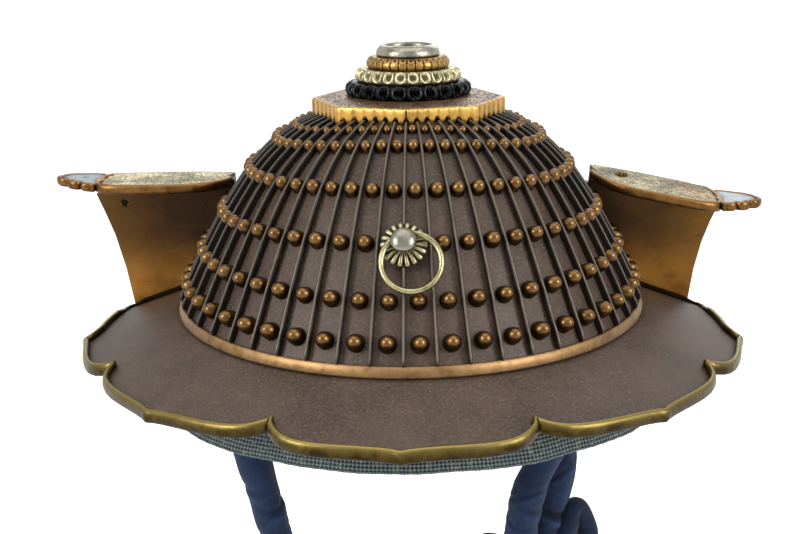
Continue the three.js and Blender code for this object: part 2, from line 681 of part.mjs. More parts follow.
// Grid of the flap's back face: rows go up the standing part, round the bend and out along the lip
function flapGrid(flap) {
  const lanes = LIP_EDGE.map(({ across }) => (across - LIP_EDGE[0].across) / (LIP_OUT - LIP_EDGE[0].across));
  const rows = [];
  const point = (across, y, z) => new THREE.Vector3(flap.side * across, y, z);
  FLAP_SIDE.forEach((level) => {
    const { up } = level;
    const out = level[flap.name];
    rows.push(lanes.map((lane) => {
      const guess = flap.foot + up * (lipHeight(flap, LIP_INNER, FLAP_Y) - FLAP_BEND - flap.foot);
      const inner = bowlSide(guess);
      const across = inner + (out - inner) * lane;
      const foot = guardHeight(Math.PI - Math.atan2(across, FLAP_Y), Math.hypot(across, FLAP_Y)) + FLAP_FOOT;
      const top = lipHeight(flap, Math.min(across, LIP_OUT), FLAP_Y) - FLAP_BEND;
      return point(across, FLAP_Y, foot + up * (top - foot));
    }));
  });
  const last = FLAP_SIDE.at(-1)[flap.name];
  const lipOut = lipAcross(flap, LIP_OUT);
  BEND_ROWS.forEach(({ turn, share, step }) => {
    const angle = THREE.MathUtils.degToRad(turn);
    const y = FLAP_Y - (FLAP_Y - LIP_FAR) * (1 - Math.cos(angle));
    const inner = LIP_EDGE[0].across + step;
    const outer = last - share * (last - lipOut);
    rows.push(lanes.map((lane) => {
      const across = inner + (outer - inner) * lane;
      const height = lipHeight(flap, Math.min(across, LIP_OUT), y) - FLAP_BEND * (1 - Math.sin(angle));
      return point(across, y, height);
    }));
  });
  rows.push(LIP_EDGE.map(({ across, y }) => point(lipAcross(flap, across), y, lipHeight(flap, across, y))));
  return rows;
}

// Direction out of the back face of a grid at one of its points
function gridNormal(grid, r, c, side) {
  const up = grid[Math.min(r + 1, grid.length - 1)][c].clone().sub(grid[Math.max(r - 1, 0)][c]);
  const along = grid[r][Math.min(c + 1, grid[r].length - 1)].clone().sub(grid[r][Math.max(c - 1, 0)]);
  return new THREE.Vector3().crossVectors(along, up).normalize().multiplyScalar(side);
}

function shifted(grid, side, distance) {
  return grid.map((row, r) => row.map((point, c) => (
    point.clone().addScaledVector(gridNormal(grid, r, c, side), distance)
  )));
}

function lipRimPath(flap) {
  return [...LIP_EDGE.slice(1, -1), RIM_END].map(({ across, y }) => (
    new THREE.Vector3(flap.side * lipAcross(flap, across), y, lipHeight(flap, across, y) + LIP_DEPTH)
  ));
}

function offsetPath(path, side, distance) {
  const out = sideways(path);
  return path.map((point, i) => point.clone().addScaledVector(out[i], side * distance));
}

function earOutline(inset) {
  return EAR.map(({ across, y }) => {
    const step = [across - EAR_MIDDLE.across, y - EAR_MIDDLE.y];
    const share = 1 - inset / Math.hypot(...step);
    return { across: EAR_MIDDLE.across + step[0] * share, y: EAR_MIDDLE.y + step[1] * share };
  });
}

function earLine(flap, inset, drop) {
  return earOutline(inset).map(({ across, y }) => (
    new THREE.Vector3(flap.side * (across + EAR_SHIFT - flap.inset), y, earHeight(flap, across, y) - drop)
  ));
}

function earPlate(flap) {
  return loft([earLine(flap, EAR_RIM.width, 0), earLine(flap, EAR_RIM.width, EAR_WALL)], false);
}

function earRim(flap) {
  const path = earLine(flap, 0, EAR_DROP);
  return bead(path, sideways(path), EAR_RIM);
}

FLAPS.forEach((flap) => {
  const grid = flapGrid(flap);
  const front = shifted(grid, flap.side, -FLAP_WALL);
  addPiece(`${flap.name}_flap`, sheet(grid, front), 'lacquer');
  const hideBack = shifted(grid, flap.side, -FLAP_WALL - GAP);
  const hideFront = shifted(grid, flap.side, -FLAP_WALL - GAP - FACING_WALL);
  addPiece(`${flap.name}_flap_facing`, sheet(hideBack, hideFront), 'hide');
  const path = lipRimPath(flap);
  const rimPath = offsetPath(path, flap.side, FLAP_RIM.width / 2 + 2 * GAP);
  addPiece(`${flap.name}_flap_rim`, bead(rimPath, sideways(rimPath), FLAP_RIM), 'gilt');
  addPiece(`${flap.name}_ear`, earPlate(flap), 'silver');
  addPiece(`${flap.name}_ear_rim`, earRim(flap), 'gilt');
});

function stud(flap) {
  const { across, y, lift, sides } = STUD;
  const geometry = new THREE.LatheGeometry(STUD_PROFILE.map(([r, z]) => new THREE.Vector2(r, z)), sides);
  geometry.rotateX(Math.PI / 2);
  geometry.rotateY(Math.atan(flap.fall));
  const facing = lipHeight(flap, across, y) + FLAP_WALL + GAP + FACING_WALL;
  geometry.translate(across, y, facing + GAP + lift);
  return geometry;
}
addPiece('right_flap_stud', stud(FLAPS[1]), 'brass');

// Chin cord, its anchors inside the bowl's mouth and its tied bow
function tube(route) {
  const curve = new THREE.CatmullRomCurve3(route.map(([x, y, z]) => new THREE.Vector3(x, y, z)));
  const steps = Math.max(4, Math.round(curve.getLength() / CORD.pitch));
  const section = new THREE.Shape();
  for (let s = 0; s < CORD.sides; s += 1) {
    const turn = (2 * Math.PI * s) / CORD.sides;
    const place = [CORD.radius * Math.cos(turn), CORD.radius * Math.sin(turn)];
    if (s === 0) section.moveTo(...place);
    else section.lineTo(...place);
  }
  section.closePath();
  return new THREE.ExtrudeGeometry(section, { steps, extrudePath: curve, curveSegments: 1 });
}
addPiece('chin_cord_left', tube(CORD_LEFT), 'indigo');
addPiece('chin_cord_right_front', tube(CORD_FRONT), 'indigo');
addPiece('chin_cord_right_back', tube(CORD_BACK), 'indigo');

function anchor(side, y) {
  const geometry = new THREE.TorusGeometry(ANCHOR.radius, ANCHOR.wire, 5, 12);
  geometry.translate(side * ANCHOR.across, y, ANCHOR.z);
  return geometry;
}
addPiece('left_cord_anchor', anchor(-1, ANCHOR.yLeft), 'iron');
addPiece('right_cord_anchor', anchor(1, ANCHOR.yRight), 'iron');

function knot() {
  const core = new THREE.SphereGeometry(KNOT.core, 10, 7);
  core.scale(...KNOT.squash);
  const loops = BOW.map(({ dx, dy, dz, radius, tube: thick, turn }) => {
    const ring = new THREE.TorusGeometry(radius, thick, 6, 10);
    ring.scale(1, BOW_SQUASH, 1);
    ring.rotateX(Math.PI / 2);
    ring.rotateY(turn);
    ring.translate(dx, dy, dz);
    return ring;
  });
  const solid = loops.reduce((sum, ring) => sum.add(solidOf(ring)), solidOf(core));
  const geometry = geometryOf(solid);
  geometry.translate(KNOT.x, KNOT.y, KNOT.z);
  return geometry;
}
addPiece('chin_knot', knot(), 'indigo');

export default group;
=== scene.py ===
"""Looks of a ribbed and riveted helmet bowl with its neck guard, ear flaps and chin cord.

Sizes are in millimetres in the classes and become metres where a mesh is made.
The frame is +Z up, +Y the way the wearer faces, +X the wearer's right, and the
origin is the middle of the bowl's mouth.
"""

from __future__ import annotations

import logging
import math
from dataclasses import dataclass, field
from enum import Enum
from typing import Any, Sequence

import bpy
import numpy as np
from mathutils import Matrix, Vector

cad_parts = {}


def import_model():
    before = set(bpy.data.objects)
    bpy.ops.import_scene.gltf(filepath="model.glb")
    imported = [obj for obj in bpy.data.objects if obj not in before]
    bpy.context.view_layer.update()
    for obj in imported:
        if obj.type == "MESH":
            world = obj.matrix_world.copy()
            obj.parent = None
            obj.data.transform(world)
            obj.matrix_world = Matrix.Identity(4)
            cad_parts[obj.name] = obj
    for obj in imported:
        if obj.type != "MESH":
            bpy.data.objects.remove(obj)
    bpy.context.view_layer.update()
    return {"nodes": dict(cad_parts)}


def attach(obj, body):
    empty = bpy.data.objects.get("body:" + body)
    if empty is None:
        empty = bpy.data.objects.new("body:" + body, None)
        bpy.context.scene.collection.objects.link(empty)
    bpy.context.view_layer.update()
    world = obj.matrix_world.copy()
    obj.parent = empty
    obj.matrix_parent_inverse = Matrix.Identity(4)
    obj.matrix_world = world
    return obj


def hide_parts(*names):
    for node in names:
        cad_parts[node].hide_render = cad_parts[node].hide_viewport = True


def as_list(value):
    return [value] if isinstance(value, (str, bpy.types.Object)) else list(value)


log = logging.getLogger("helmet")
MM = 0.001
TAU = 2.0 * math.pi
HELMET = "helmet"
RING_BODY = "rear_ring"
STRETCH = 1.08
RIBS = 50
Finish = bpy.types.Material
Piece = bpy.types.Object


# Shader maths


class Wire:
    """A value in a shader tree that takes part in Python arithmetic."""

    def __init__(self, graph: "Graph", socket: bpy.types.NodeSocket) -> None:
        """Keeps the tree and the socket that the value comes from."""
        self.graph = graph
        self.socket = socket

    def _with(self, operation: str, first: Any, second: Any) -> "Wire":
        """Joins two values by one Math node."""
        return self.graph.maths(operation, first, second)

    def __add__(self, other: Any) -> "Wire":
        """Sum."""
        return self._with("ADD", self, other)

    __radd__ = __add__

    def __sub__(self, other: Any) -> "Wire":
        """Difference."""
        return self._with("SUBTRACT", self, other)

    def __rsub__(self, other: Any) -> "Wire":
        """Difference the other way round."""
        return self._with("SUBTRACT", other, self)

    def __mul__(self, other: Any) -> "Wire":
        """Product."""
        return self._with("MULTIPLY", self, other)

    __rmul__ = __mul__

    def smooth(self, low: float, high: float) -> "Wire":
        """A soft step from 0 at low to 1 at high.

        Args:
            low: value where the step begins.
            high: value where it ends.

        Returns:
            The stepped value.
        """
        return self.graph.out(
            "ShaderNodeMapRange",
            {"interpolation_type": "SMOOTHSTEP"},
            {"Value": self, "From Min": low, "From Max": high},
            "Result",
        )

    def bounded(self) -> "Wire":
        """The value held between 0 and 1."""
        return self.graph.out("ShaderNodeClamp", {}, {"Value": self}, "Result")


def paint(code: str) -> tuple[float, float, float, float]:
    """Turns a six figure screen colour into the linear one that shaders use.

    Args:
        code: the colour, such as "6b5a54".

    Returns:
        Red, green, blue and alpha.
    """
    parts = [int(code[i : i + 2], 16) / 255.0 for i in (0, 2, 4)]
    linear = [p / 12.92 if p <= 0.04045 else ((p + 0.055) / 1.055) ** 2.4 for p in parts]
    return (linear[0], linear[1], linear[2], 1.0)


class Graph:
    """A material's node tree with short ways to add to it."""

    def __init__(self, name: str) -> None:
        """Starts an empty material with that name."""
        self.material = bpy.data.materials.new(name)
        self.material.use_nodes = True
        self.tree = self.material.node_tree
        self.tree.nodes.clear()

    def node(
        self, kind: str, settings: dict[str, Any], inputs: dict[Any, Any]
    ) -> bpy.types.Node:
        """Adds any node.

        Args:
            kind: the node's type name.
            settings: its properties.
            inputs: values or wires by input name or number.

        Returns:
            The node.
        """
        made = self.tree.nodes.new(kind)
        for key, value in settings.items():
            setattr(made, key, value)
        for key, value in inputs.items():
            socket = made.inputs[key]
            if isinstance(value, Wire):
                self.tree.links.new(value.socket, socket)
            else:
                socket.default_value = value
        return made

    def out(
        self, kind: str, settings: dict[str, Any], inputs: dict[Any, Any], name: Any
    ) -> Wire:
        """Adds a node and returns one of its outputs.

        Args:
            kind: the node's type name.
            settings: its properties.
            inputs: values or wires by input name or number.
            name: the output's name or number.

        Returns:
            The output as a wire.
        """
        return Wire(self, self.node(kind, settings, inputs).outputs[name])

    def maths(self, operation: str, first: Any, second: Any = 0.0) -> Wire:
        """Adds a Math node.

        Args:
            operation: the node's operation.
            first: first value or wire.
            second: second value or wire.

        Returns:
            The result.
        """
        return self.out(
            "ShaderNodeMath", {"operation": operation}, {0: first, 1: second}, 0
        )

    def place(self) -> Wire:
        """The point on the object, in metres."""
        return self.out("ShaderNodeTexCoord", {}, {}, "Object")

    def uv(self) -> Wire:
        """The piece's own unwrapped coordinates, in metres."""
        return self.out("ShaderNodeUVMap", {"uv_map": "UVMap"}, {}, "UV")

    def mark(self, name: str) -> Wire:
        """A number stored on the mesh's points.

        Args:
            name: the attribute's name.

        Returns:
            Its value.
        """
        return self.out("ShaderNodeAttribute", {"attribute_name": name}, {}, "Fac")

    def noise(
        self, where: Wire, scale: float, detail: float = 3.0, rough: float = 0.55, shift: float = 0.0
    ) -> Wire:
        """Cloudy noise between 0 and 1.

        Args:
            where: coordinates in metres.
            scale: lumps per metre.
            detail: how many finer layers are added.
            rough: how strong the finer layers are.
            shift: sideways twist of the pattern.

        Returns:
            The noise.
        """
        return self.out(
            "ShaderNodeTexNoise",
            {"noise_dimensions": "3D"},
            {"Vector": where, "Scale": scale, "Detail": detail, "Roughness": rough, "Distortion": shift},
            "Fac",
        )

    def cells(self, where: Wire, scale: float, feature: str = "F1") -> Wire:
        """Distance pattern of scattered cells.

        Args:
            where: coordinates in metres.
            scale: cells per metre.
            feature: which distance is given.

        Returns:
            The distance.
        """
        return self.out(
            "ShaderNodeTexVoronoi", {"feature": feature}, {"Vector": where, "Scale": scale}, "Distance"
        )

    def scaled(self, where: Wire, by: Sequence[float]) -> Wire:
        """Coordinates stretched along their axes.

        Args:
            where: coordinates.
            by: three factors.

        Returns:
            The stretched coordinates.
        """
        return self.out("ShaderNodeMapping", {}, {"Vector": where, "Scale": tuple(by)}, "Vector")

    def blend(self, share: Any, first: Any, second: Any) -> Wire:
        """Mixes two colours.

        Args:
            share: how much of the second.
            first: colour or wire.
            second: colour or wire.

        Returns:
            The mixed colour.
        """
        settings = {"data_type": "RGBA", "clamp_result": True}
        return self.out("ShaderNodeMix", settings, {0: share, 6: first, 7: second}, 2)

    def bump(self, height: Wire, depth: float) -> Wire:
        """A normal that follows a height.

        Args:
            height: the height between 0 and 1.
            depth: how far 1 stands out, in metres.

        Returns:
            The normal.
        """
        return self.out(
            "ShaderNodeBump", {}, {"Height": height, "Distance": depth, "Strength": 1.0}, "Normal"
        )

    def surface(self, values: dict[str, Any]) -> Finish:
        """Ends the tree in one surface shader.

        Args:
            values: the shader's inputs by name.

        Returns:
            The finished material.
        """
        shader = self.node("ShaderNodeBsdfPrincipled", {}, values)
        self.node("ShaderNodeOutputMaterial", {}, {"Surface": Wire(self, shader.outputs[0])})
        return self.material


# Finishes


@dataclass(frozen=True)
class RussetLacquer:
    """Dry brown lacquer with a fine grain, rusty freckles and pale rubbed places."""

    name: str = "russet_lacquer"
    base: str = "403229"
    deep: str = "2e231b"
    pale: str = "56483d"
    rust: str = "6e4630"
    roughness: float = 0.46

    def build(self) -> Finish:
        """Makes the material."""
        g = Graph(self.name)
        at = g.place()
        cloud = g.noise(at, 34.0, 5.0, 0.6)
        grain = g.noise(at, 900.0, 4.0, 0.7)
        fine = g.noise(at, 2600.0, 2.0, 0.6)
        freckle = g.noise(at, 420.0, 3.0, 0.6).smooth(0.6, 0.7)
        bright = g.cells(at, 560.0).smooth(0.16, 0.04) * g.noise(at, 90.0, 2.0).smooth(0.5, 0.75)
        colour = g.blend(cloud.smooth(0.32, 0.7), paint(self.deep), paint(self.base))
        colour = g.blend(grain.smooth(0.42, 0.72) * 0.75, colour, paint(self.pale))
        colour = g.blend(fine.smooth(0.5, 0.3) * 0.5, colour, paint(self.deep))
        colour = g.blend(freckle * cloud * 0.5, colour, paint(self.rust))
        colour = g.blend(bright * 0.7, colour, paint("b0a69a"))
        height = grain * 0.6 + fine * 0.25 + cloud * 0.4
        return g.surface(
            {
                "Base Color": colour,
                "Metallic": 0.25,
                "Roughness": (grain * 0.22 + (self.roughness - 0.08) + bright * -0.1).bounded(),
                "Normal": g.bump(height, 0.00022),
                "Specular IOR Level": 0.3,
                "Coat Weight": 0.04,
                "Coat Roughness": 0.3,
            }
        )


@dataclass(frozen=True)
class RibLacquer:
    """Dark lacquer on the ribs, paler along the rolled edge: worn to pale iron there, with the paler crest also
    serving as a painted highlight.
    """

    name: str = "rib_lacquer"
    dark: str = "1b1611"
    edge: str = "5a4e3d"

    def build(self) -> Finish:
        """Makes the material."""
        g = Graph(self.name)
        at = g.place()
        worn = g.mark("edge")
        patch = g.noise(at, 120.0, 4.0, 0.65)
        fine = g.noise(at, 1400.0, 2.0)
        # Paler along the crest: rubbed wear, and a painted highlight on the crest.
        crest_wear_and_highlight = (worn.smooth(0.35, 0.95) * (patch.smooth(0.2, 0.6) * 0.7 + 0.3)).bounded()
        colour = g.blend(crest_wear_and_highlight * 0.85, paint(self.dark), paint(self.edge))
        colour = g.blend(patch.smooth(0.6, 0.75) * 0.4, colour, paint("5c4434"))
        return g.surface(
            {
                "Base Color": colour,
                "Metallic": 0.35,
                "Roughness": (crest_wear_and_highlight * -0.12 + fine * 0.16 + 0.46).bounded(),
                "Normal": g.bump(fine * 0.5 + patch * 0.5, 0.00012),
            }
        )


class Tone(Enum):
    """Which metal colouring a fitting has: light, body and dark colours."""

    BRONZE = ("7f6039", "422f1b", "130d06")
    GILT = ("dcb062", "a47d3c", "382410")
    OLD_GILT = ("897845", "2e220c", "0a0702")
    LIP_GILT = ("866438", "593d20", "1f1208")
    BAND_GILT = ("a3825a", "755a3c", "281b0e")
    FLOWER_GILT = ("ac8c56", "77592d", "201508")
    PALE_BRASS = ("bfb890", "837b56", "241f12")
    OLD_BRASS = ("aaa17c", "766e50", "17130a")
    SILVER = ("b9b6a5", "807d6e", "211f19")
    OLD_SILVER = ("bcb694", "8a8262", "2c281a")
    BOSS_SILVER = ("a3a193", "67655b", "1b1a15")
    EAR_SILVER = ("98a0a2", "6c767c", "2c3034")
    BLACK = ("2e2f31", "09090b", "020202")
    IRON = ("6a625a", "38322d", "14110f")


@dataclass(frozen=True)
class FittingMetal:
    """A soft metal finish with painted highlights on its tops and crests and painted shade in its hollows and
    undersides.
    """

    name: str
    tone: Tone
    roughness: float = 0.32
    metallic: float = 1.0
    mottle: float = 0.5
    relief: float = 0.00012
    edge_light: float = 0.6

    def build(self) -> Finish:
        """Makes the material."""
        light, body, dark = self.tone.value
        g = Graph(self.name)
        at = g.place()
        hollow = g.mark("hollow")
        edge = g.mark("edge")
        cloud = g.noise(at, 140.0, 5.0, 0.62, 0.4)
        fine = g.noise(at, 1100.0, 3.0, 0.6)
        pits = g.cells(at, 900.0).smooth(0.22, 0.05) * cloud.smooth(0.48, 0.7)
        colour = g.blend(cloud.smooth(0.3, 0.72) * self.mottle, paint(body), paint(light))
        colour = g.blend(cloud.smooth(0.52, 0.3) * self.mottle * 0.6, colour, paint(dark))
        # Painted highlight from the edge mark, then painted shade from the hollow mark.
        colour = g.blend(edge * self.edge_light, colour, paint(light))
        colour = g.blend((hollow * 0.92).bounded(), colour, paint(dark))
        colour = g.blend(pits * 0.6, colour, paint(dark))
        rough = cloud * 0.16 + hollow * 0.3 + (self.roughness - 0.07) + fine * 0.06
        return g.surface(
            {
                "Base Color": colour,
                "Metallic": self.metallic,
                "Roughness": rough.bounded(),
                "Normal": g.bump(cloud * 0.5 + fine * 0.5, self.relief),
            }
        )


@dataclass(frozen=True)
class EngravedTop:
    """Brown gilding cut with close scrolling lines, on the crown plate's upper face."""

    name: str = "engraved_gilt"

    def build(self) -> Finish:
        """Makes the material."""
        g = Graph(self.name)
        at = g.place()
        warp = g.noise(at, 160.0, 2.0)
        rings = g.maths("SINE", g.cells(at, 170.0) * 22.0 + warp * 7.0)
        line = rings.smooth(0.1, 0.75)
        cloud = g.noise(at, 90.0, 4.0, 0.6)
        rim = g.mark("edge")
        colour = g.blend(cloud.smooth(0.35, 0.65), paint("513b24"), paint("72583a"))
        colour = g.blend(line * 0.8, colour, paint("24190f"))
        colour = g.blend((1.0 - line) * cloud.smooth(0.5, 0.7) * 0.5, colour, paint("937c5c"))
        # Painted highlight round the face's border, from the edge mark.
        colour = g.blend(rim * 0.7, colour, paint("b08c4c"))
        return g.surface(
            {
                "Base Color": colour,
                "Metallic": 0.75,
                "Roughness": (line * 0.2 + 0.4).bounded(),
                "Normal": g.bump(1.0 - line, 0.0006),
            }
        )


@dataclass(frozen=True)
class GoldLacquer:
    """Cloudy brown gold lacquer on the back of the ear flaps."""

    name: str = "gold_lacquer"

    def build(self) -> Finish:
        """Makes the material."""
        g = Graph(self.name)
        at = g.place()
        cloud = g.noise(at, 22.0, 4.0, 0.55)
        smoke = g.noise(g.scaled(at, (1.0, 1.0, 1.6)), 60.0, 4.0, 0.6, 0.5)
        fine = g.noise(at, 1500.0, 3.0)
        chip = g.noise(at, 240.0, 5.0, 0.7).smooth(0.66, 0.7) * cloud.smooth(0.5, 0.6)
        shade = g.mark("hollow")
        colour = g.blend(cloud.smooth(0.35, 0.65), paint("8a5e26"), paint("a5732f"))
        colour = g.blend(smoke.smooth(0.55, 0.35) * 0.4, colour, paint("4a3016"))
        colour = g.blend((shade + (smoke - 0.5) * 0.5).bounded() * 0.97, colour, paint("26170a"))
        colour = g.blend(fine.smooth(0.6, 0.8) * 0.25, colour, paint("9a7238"))
        colour = g.blend(chip, colour, paint("1d140d"))
        tear = (g.mark("edge") + (smoke - 0.5) * 0.6 + (fine - 0.5) * 0.3).smooth(0.35, 0.5)
        colour = g.blend(tear, colour, paint("080503"))
        return g.surface(
            {
                "Base Color": colour,
                "Metallic": 0.8,
                "Roughness": (smoke * 0.2 + 0.34 + chip * 0.3).bounded(),
                "Normal": g.bump(fine * 0.3 + smoke * 0.4 + (1.0 - chip) * 0.6, 0.00018),
                "Specular IOR Level": 0.25,
                "Coat Weight": 0.04,
                "Coat Roughness": 0.2,
            }
        )


@dataclass(frozen=True)
class PrintedLeather:
    """Old leather with a close dark print, rubbed, crazed and split."""

    name: str = "printed_leather"
    ground: str = "87806a"
    worn: str = "c4b898"

    def build(self) -> Finish:
        """Makes the material."""
        g = Graph(self.name)
        at = g.place()
        print_cells = g.cells(at, 230.0)
        warp = g.noise(at, 420.0, 3.0, 0.6)
        motif = g.maths("SINE", print_cells * 24.0 + warp * 6.0).smooth(-0.1, 0.5)
        rubbed = g.noise(at, 60.0, 4.0, 0.65).smooth(0.35, 0.62)
        fleck = g.noise(at, 520.0, 4.0, 0.7).smooth(0.5, 0.6)
        crack = g.cells(at, 330.0, "DISTANCE_TO_EDGE").smooth(0.05, 0.0)
        grain = g.noise(at, 1300.0, 3.0)
        bare = g.noise(at, 34.0, 3.0, 0.6).smooth(0.58, 0.66)
        colour = g.blend(rubbed, paint(self.ground), paint(self.worn))
        colour = g.blend(motif * (1.1 - rubbed) * 0.8, colour, paint("3e443c"))
        colour = g.blend(fleck * 0.7, colour, paint("2a2922"))
        colour = g.blend(bare * 0.28, colour, paint("98673e"))
        colour = g.blend(crack * 0.75, colour, paint("3b3227"))
        # Painted shade where the hollow mark is set; the leather sheets set none.
        colour = g.blend(g.mark("hollow"), colour, paint("14100c"))
        height = grain * 0.3 + (1.0 - crack) * 0.5 + (1.0 - fleck) * 0.3 + rubbed * 0.2
        return g.surface(
            {
                "Base Color": colour,
                "Roughness": (grain * 0.2 + 0.62).bounded(),
                "Normal": g.bump(height, 0.0004),
                "Specular IOR Level": 0.35,
            }
        )


@dataclass(frozen=True)
class CoarseWeave:
    """Blue grey cloth in a coarse twill, with pale and dark yarns."""

    name: str = "coarse_weave"
    yarn: float = 0.0017

    def build(self) -> Finish:
        """Makes the material."""
        g = Graph(self.name)
        uv = g.uv()
        parts = g.node("ShaderNodeSeparateXYZ", {}, {"Vector": uv})
        wobble = g.noise(g.place(), 260.0, 2.0) * 0.9
        across = Wire(g, parts.outputs[0]) * (TAU / self.yarn) + wobble
        along = Wire(g, parts.outputs[1]) * (TAU / self.yarn) + wobble
        warp = g.maths("SINE", across * 0.5 + along * 0.5)
        weft = g.maths("SINE", across * 0.5 - along * 0.5)
        lump = (warp * weft) * 0.5 + 0.5
        thread = g.maths("ABSOLUTE", g.maths("SINE", across * 0.5)) * 0.5
        tint = g.noise(g.place(), 420.0, 3.0, 0.6)
        cloud = g.noise(g.place(), 30.0, 3.0)
        colour = g.blend(lump.smooth(0.2, 0.8), paint("141e25"), paint("626c69"))
        colour = g.blend(tint.smooth(0.5, 0.75) * 0.5, colour, paint("8d8f82"))
        colour = g.blend(cloud.smooth(0.5, 0.75) * 0.4, colour, paint("31414a"))
        return g.surface(
            {
                "Base Color": colour,
                "Roughness": 0.92,
                "Normal": g.bump(lump + thread * 0.3, 0.0005),
                "Specular IOR Level": 0.2,
                "Sheen Weight": 0.08,
            }
        )


@dataclass(frozen=True)
class IndigoCloth:
    """Padded indigo cloth, paler where it is rubbed, with painted shade in its folds."""

    name: str = "indigo_cloth"
    thread: float = 0.00055
    body: str = "17263f"
    pale: str = "2c4160"
    dark: str = "050911"

    def build(self) -> Finish:
        """Makes the material."""
        g = Graph(self.name)
        uv = g.uv()
        parts = g.node("ShaderNodeSeparateXYZ", {}, {"Vector": uv})
        across = g.maths("SINE", Wire(g, parts.outputs[0]) * (TAU / self.thread))
        along = g.maths("SINE", Wire(g, parts.outputs[1]) * (TAU / self.thread))
        weave = across * along * 0.5 + 0.5
        cloud = g.noise(g.place(), 70.0, 4.0, 0.6)
        streak = g.noise(g.scaled(uv, (1.0, 0.25, 1.0)), 500.0, 4.0, 0.7)
        fold_shade = g.mark("hollow")
        rub = g.mark("edge")
        colour = g.blend(cloud.smooth(0.3, 0.7), paint("101b30"), paint(self.body))
        colour = g.blend(streak.smooth(0.5, 0.8) * 0.45, colour, paint(self.pale))
        colour = g.blend(rub * 0.5, colour, paint(self.pale))
        # Painted shade in the folds, from the hollow mark.
        colour = g.blend(fold_shade * 0.8, colour, paint(self.dark))
        colour = g.blend(weave * 0.22, colour, paint(self.dark))
        return g.surface(
            {
                "Base Color": colour,
                "Roughness": 0.9,
                "Normal": g.bump(weave * 0.25 + streak * 0.5 + cloud * 0.6, 0.0004),
                "Specular IOR Level": 0.12,
                "Sheen Weight": 0.06,
            }
        )


# Mesh helpers


def signed_volume(points: np.ndarray, faces: np.ndarray) -> float:
    """Volume of a closed mesh of quads, negative if its faces point in.

    Args:
        points: the vertices.
        faces: four vertex numbers to a face.

    Returns:
        The volume.
    """
    a, b, c, d = (points[faces[:, i]] for i in range(4))
    both = np.einsum("ij,ij->i", a, np.cross(b, c)) + np.einsum("ij,ij->i", a, np.cross(c, d))
    return float(both.sum() / 6.0)


class Ends(Enum):
    """How the first and last row of a skin are closed."""

    OPEN = "open"
    FAN = "fan"
    STRIP = "strip"


@dataclass
class Skin:
    """Rows of points, in millimetres, with a face between every four neighbours.

    Attributes:
        rows: array of rows x columns x 3; the last column joins the first.
        ends: how the first and last row are closed; OPEN joins them to each other.
        size: length across the columns and along the rows, for the unwrapped map.
        marks: numbers for each point, by name.
        crease: angle above which an edge stays sharp, in degrees.
    """

    rows: np.ndarray
    ends: Ends = Ends.OPEN
    size: tuple[float, float] = (100.0, 100.0)
    marks: dict[str, np.ndarray] = field(default_factory=dict)
    crease: float = 40.0

    def build(self, name: str, *finishes: Finish) -> Piece:
        """Makes the object.

        Args:
            name: the object's name.
            finishes: its materials.

        Returns:
            The object, at the origin with its place in its mesh.
        """
        rows, cols = self.rows.shape[:2]
        points = self.rows.reshape(-1, 3).astype(float)
        marks = {key: np.asarray(value, float).ravel() for key, value in self.marks.items()}
        spans = rows if self.ends is Ends.OPEN else rows - 1
        r, c = (g.ravel() for g in np.meshgrid(np.arange(spans), np.arange(cols), indexing="ij"))
        r2, c2 = (r + 1) % rows, (c + 1) % cols
        faces = np.stack([r * cols + c, r * cols + c2, r2 * cols + c2, r2 * cols + c], 1)
        spots = np.stack([c, r, c + 1, r, c + 1, r + 1, c, r + 1], 1).reshape(-1, 4, 2).astype(float)
        for row, lifted in ((0, 0), (rows - 1, 1)):
            ring = row * cols + np.arange(cols)
            if self.ends is Ends.FAN:
                hub = np.full(cols, len(points))
                points = np.vstack([points, points[ring].mean(0)])
                marks = {key: np.append(value, value[ring].mean()) for key, value in marks.items()}
                ahead = np.roll(ring, -1)
                pair = (ring, ahead) if lifted else (ahead, ring)
                cap = np.stack([*pair, hub, hub], 1)
            elif self.ends is Ends.STRIP:
                k = np.arange(cols // 2 - 1)
                cap = np.stack([ring[k], ring[k + 1], ring[cols - 2 - k], ring[cols - 1 - k]], 1)
                cap = cap if lifted else cap[:, ::-1]
            else:
                continue
            faces = np.vstack([faces, cap])
            spots = np.vstack([spots, np.full((len(cap), 4, 2), float(row))])
        if signed_volume(points - points.mean(0), faces) < 0:
            turned = np.array([0, 3, 2, 1])
            fan = faces[:, 2] == faces[:, 3]
            faces[~fan] = faces[~fan][:, turned]
            faces[fan] = faces[fan][:, [1, 0, 2, 3]]
            spots = spots[:, turned]
        spots[..., 0] *= self.size[0] * MM / cols
        spots[..., 1] *= self.size[1] * MM / spans
        fan = faces[:, 2] == faces[:, 3]
        listed = [f[:3].tolist() if short else f.tolist() for f, short in zip(faces, fan)]
        corner_uv = np.concatenate([u[:3] if short else u for u, short in zip(spots, fan)])
        return mesh_object(name, points, listed, finishes, corner_uv, marks, self.crease)


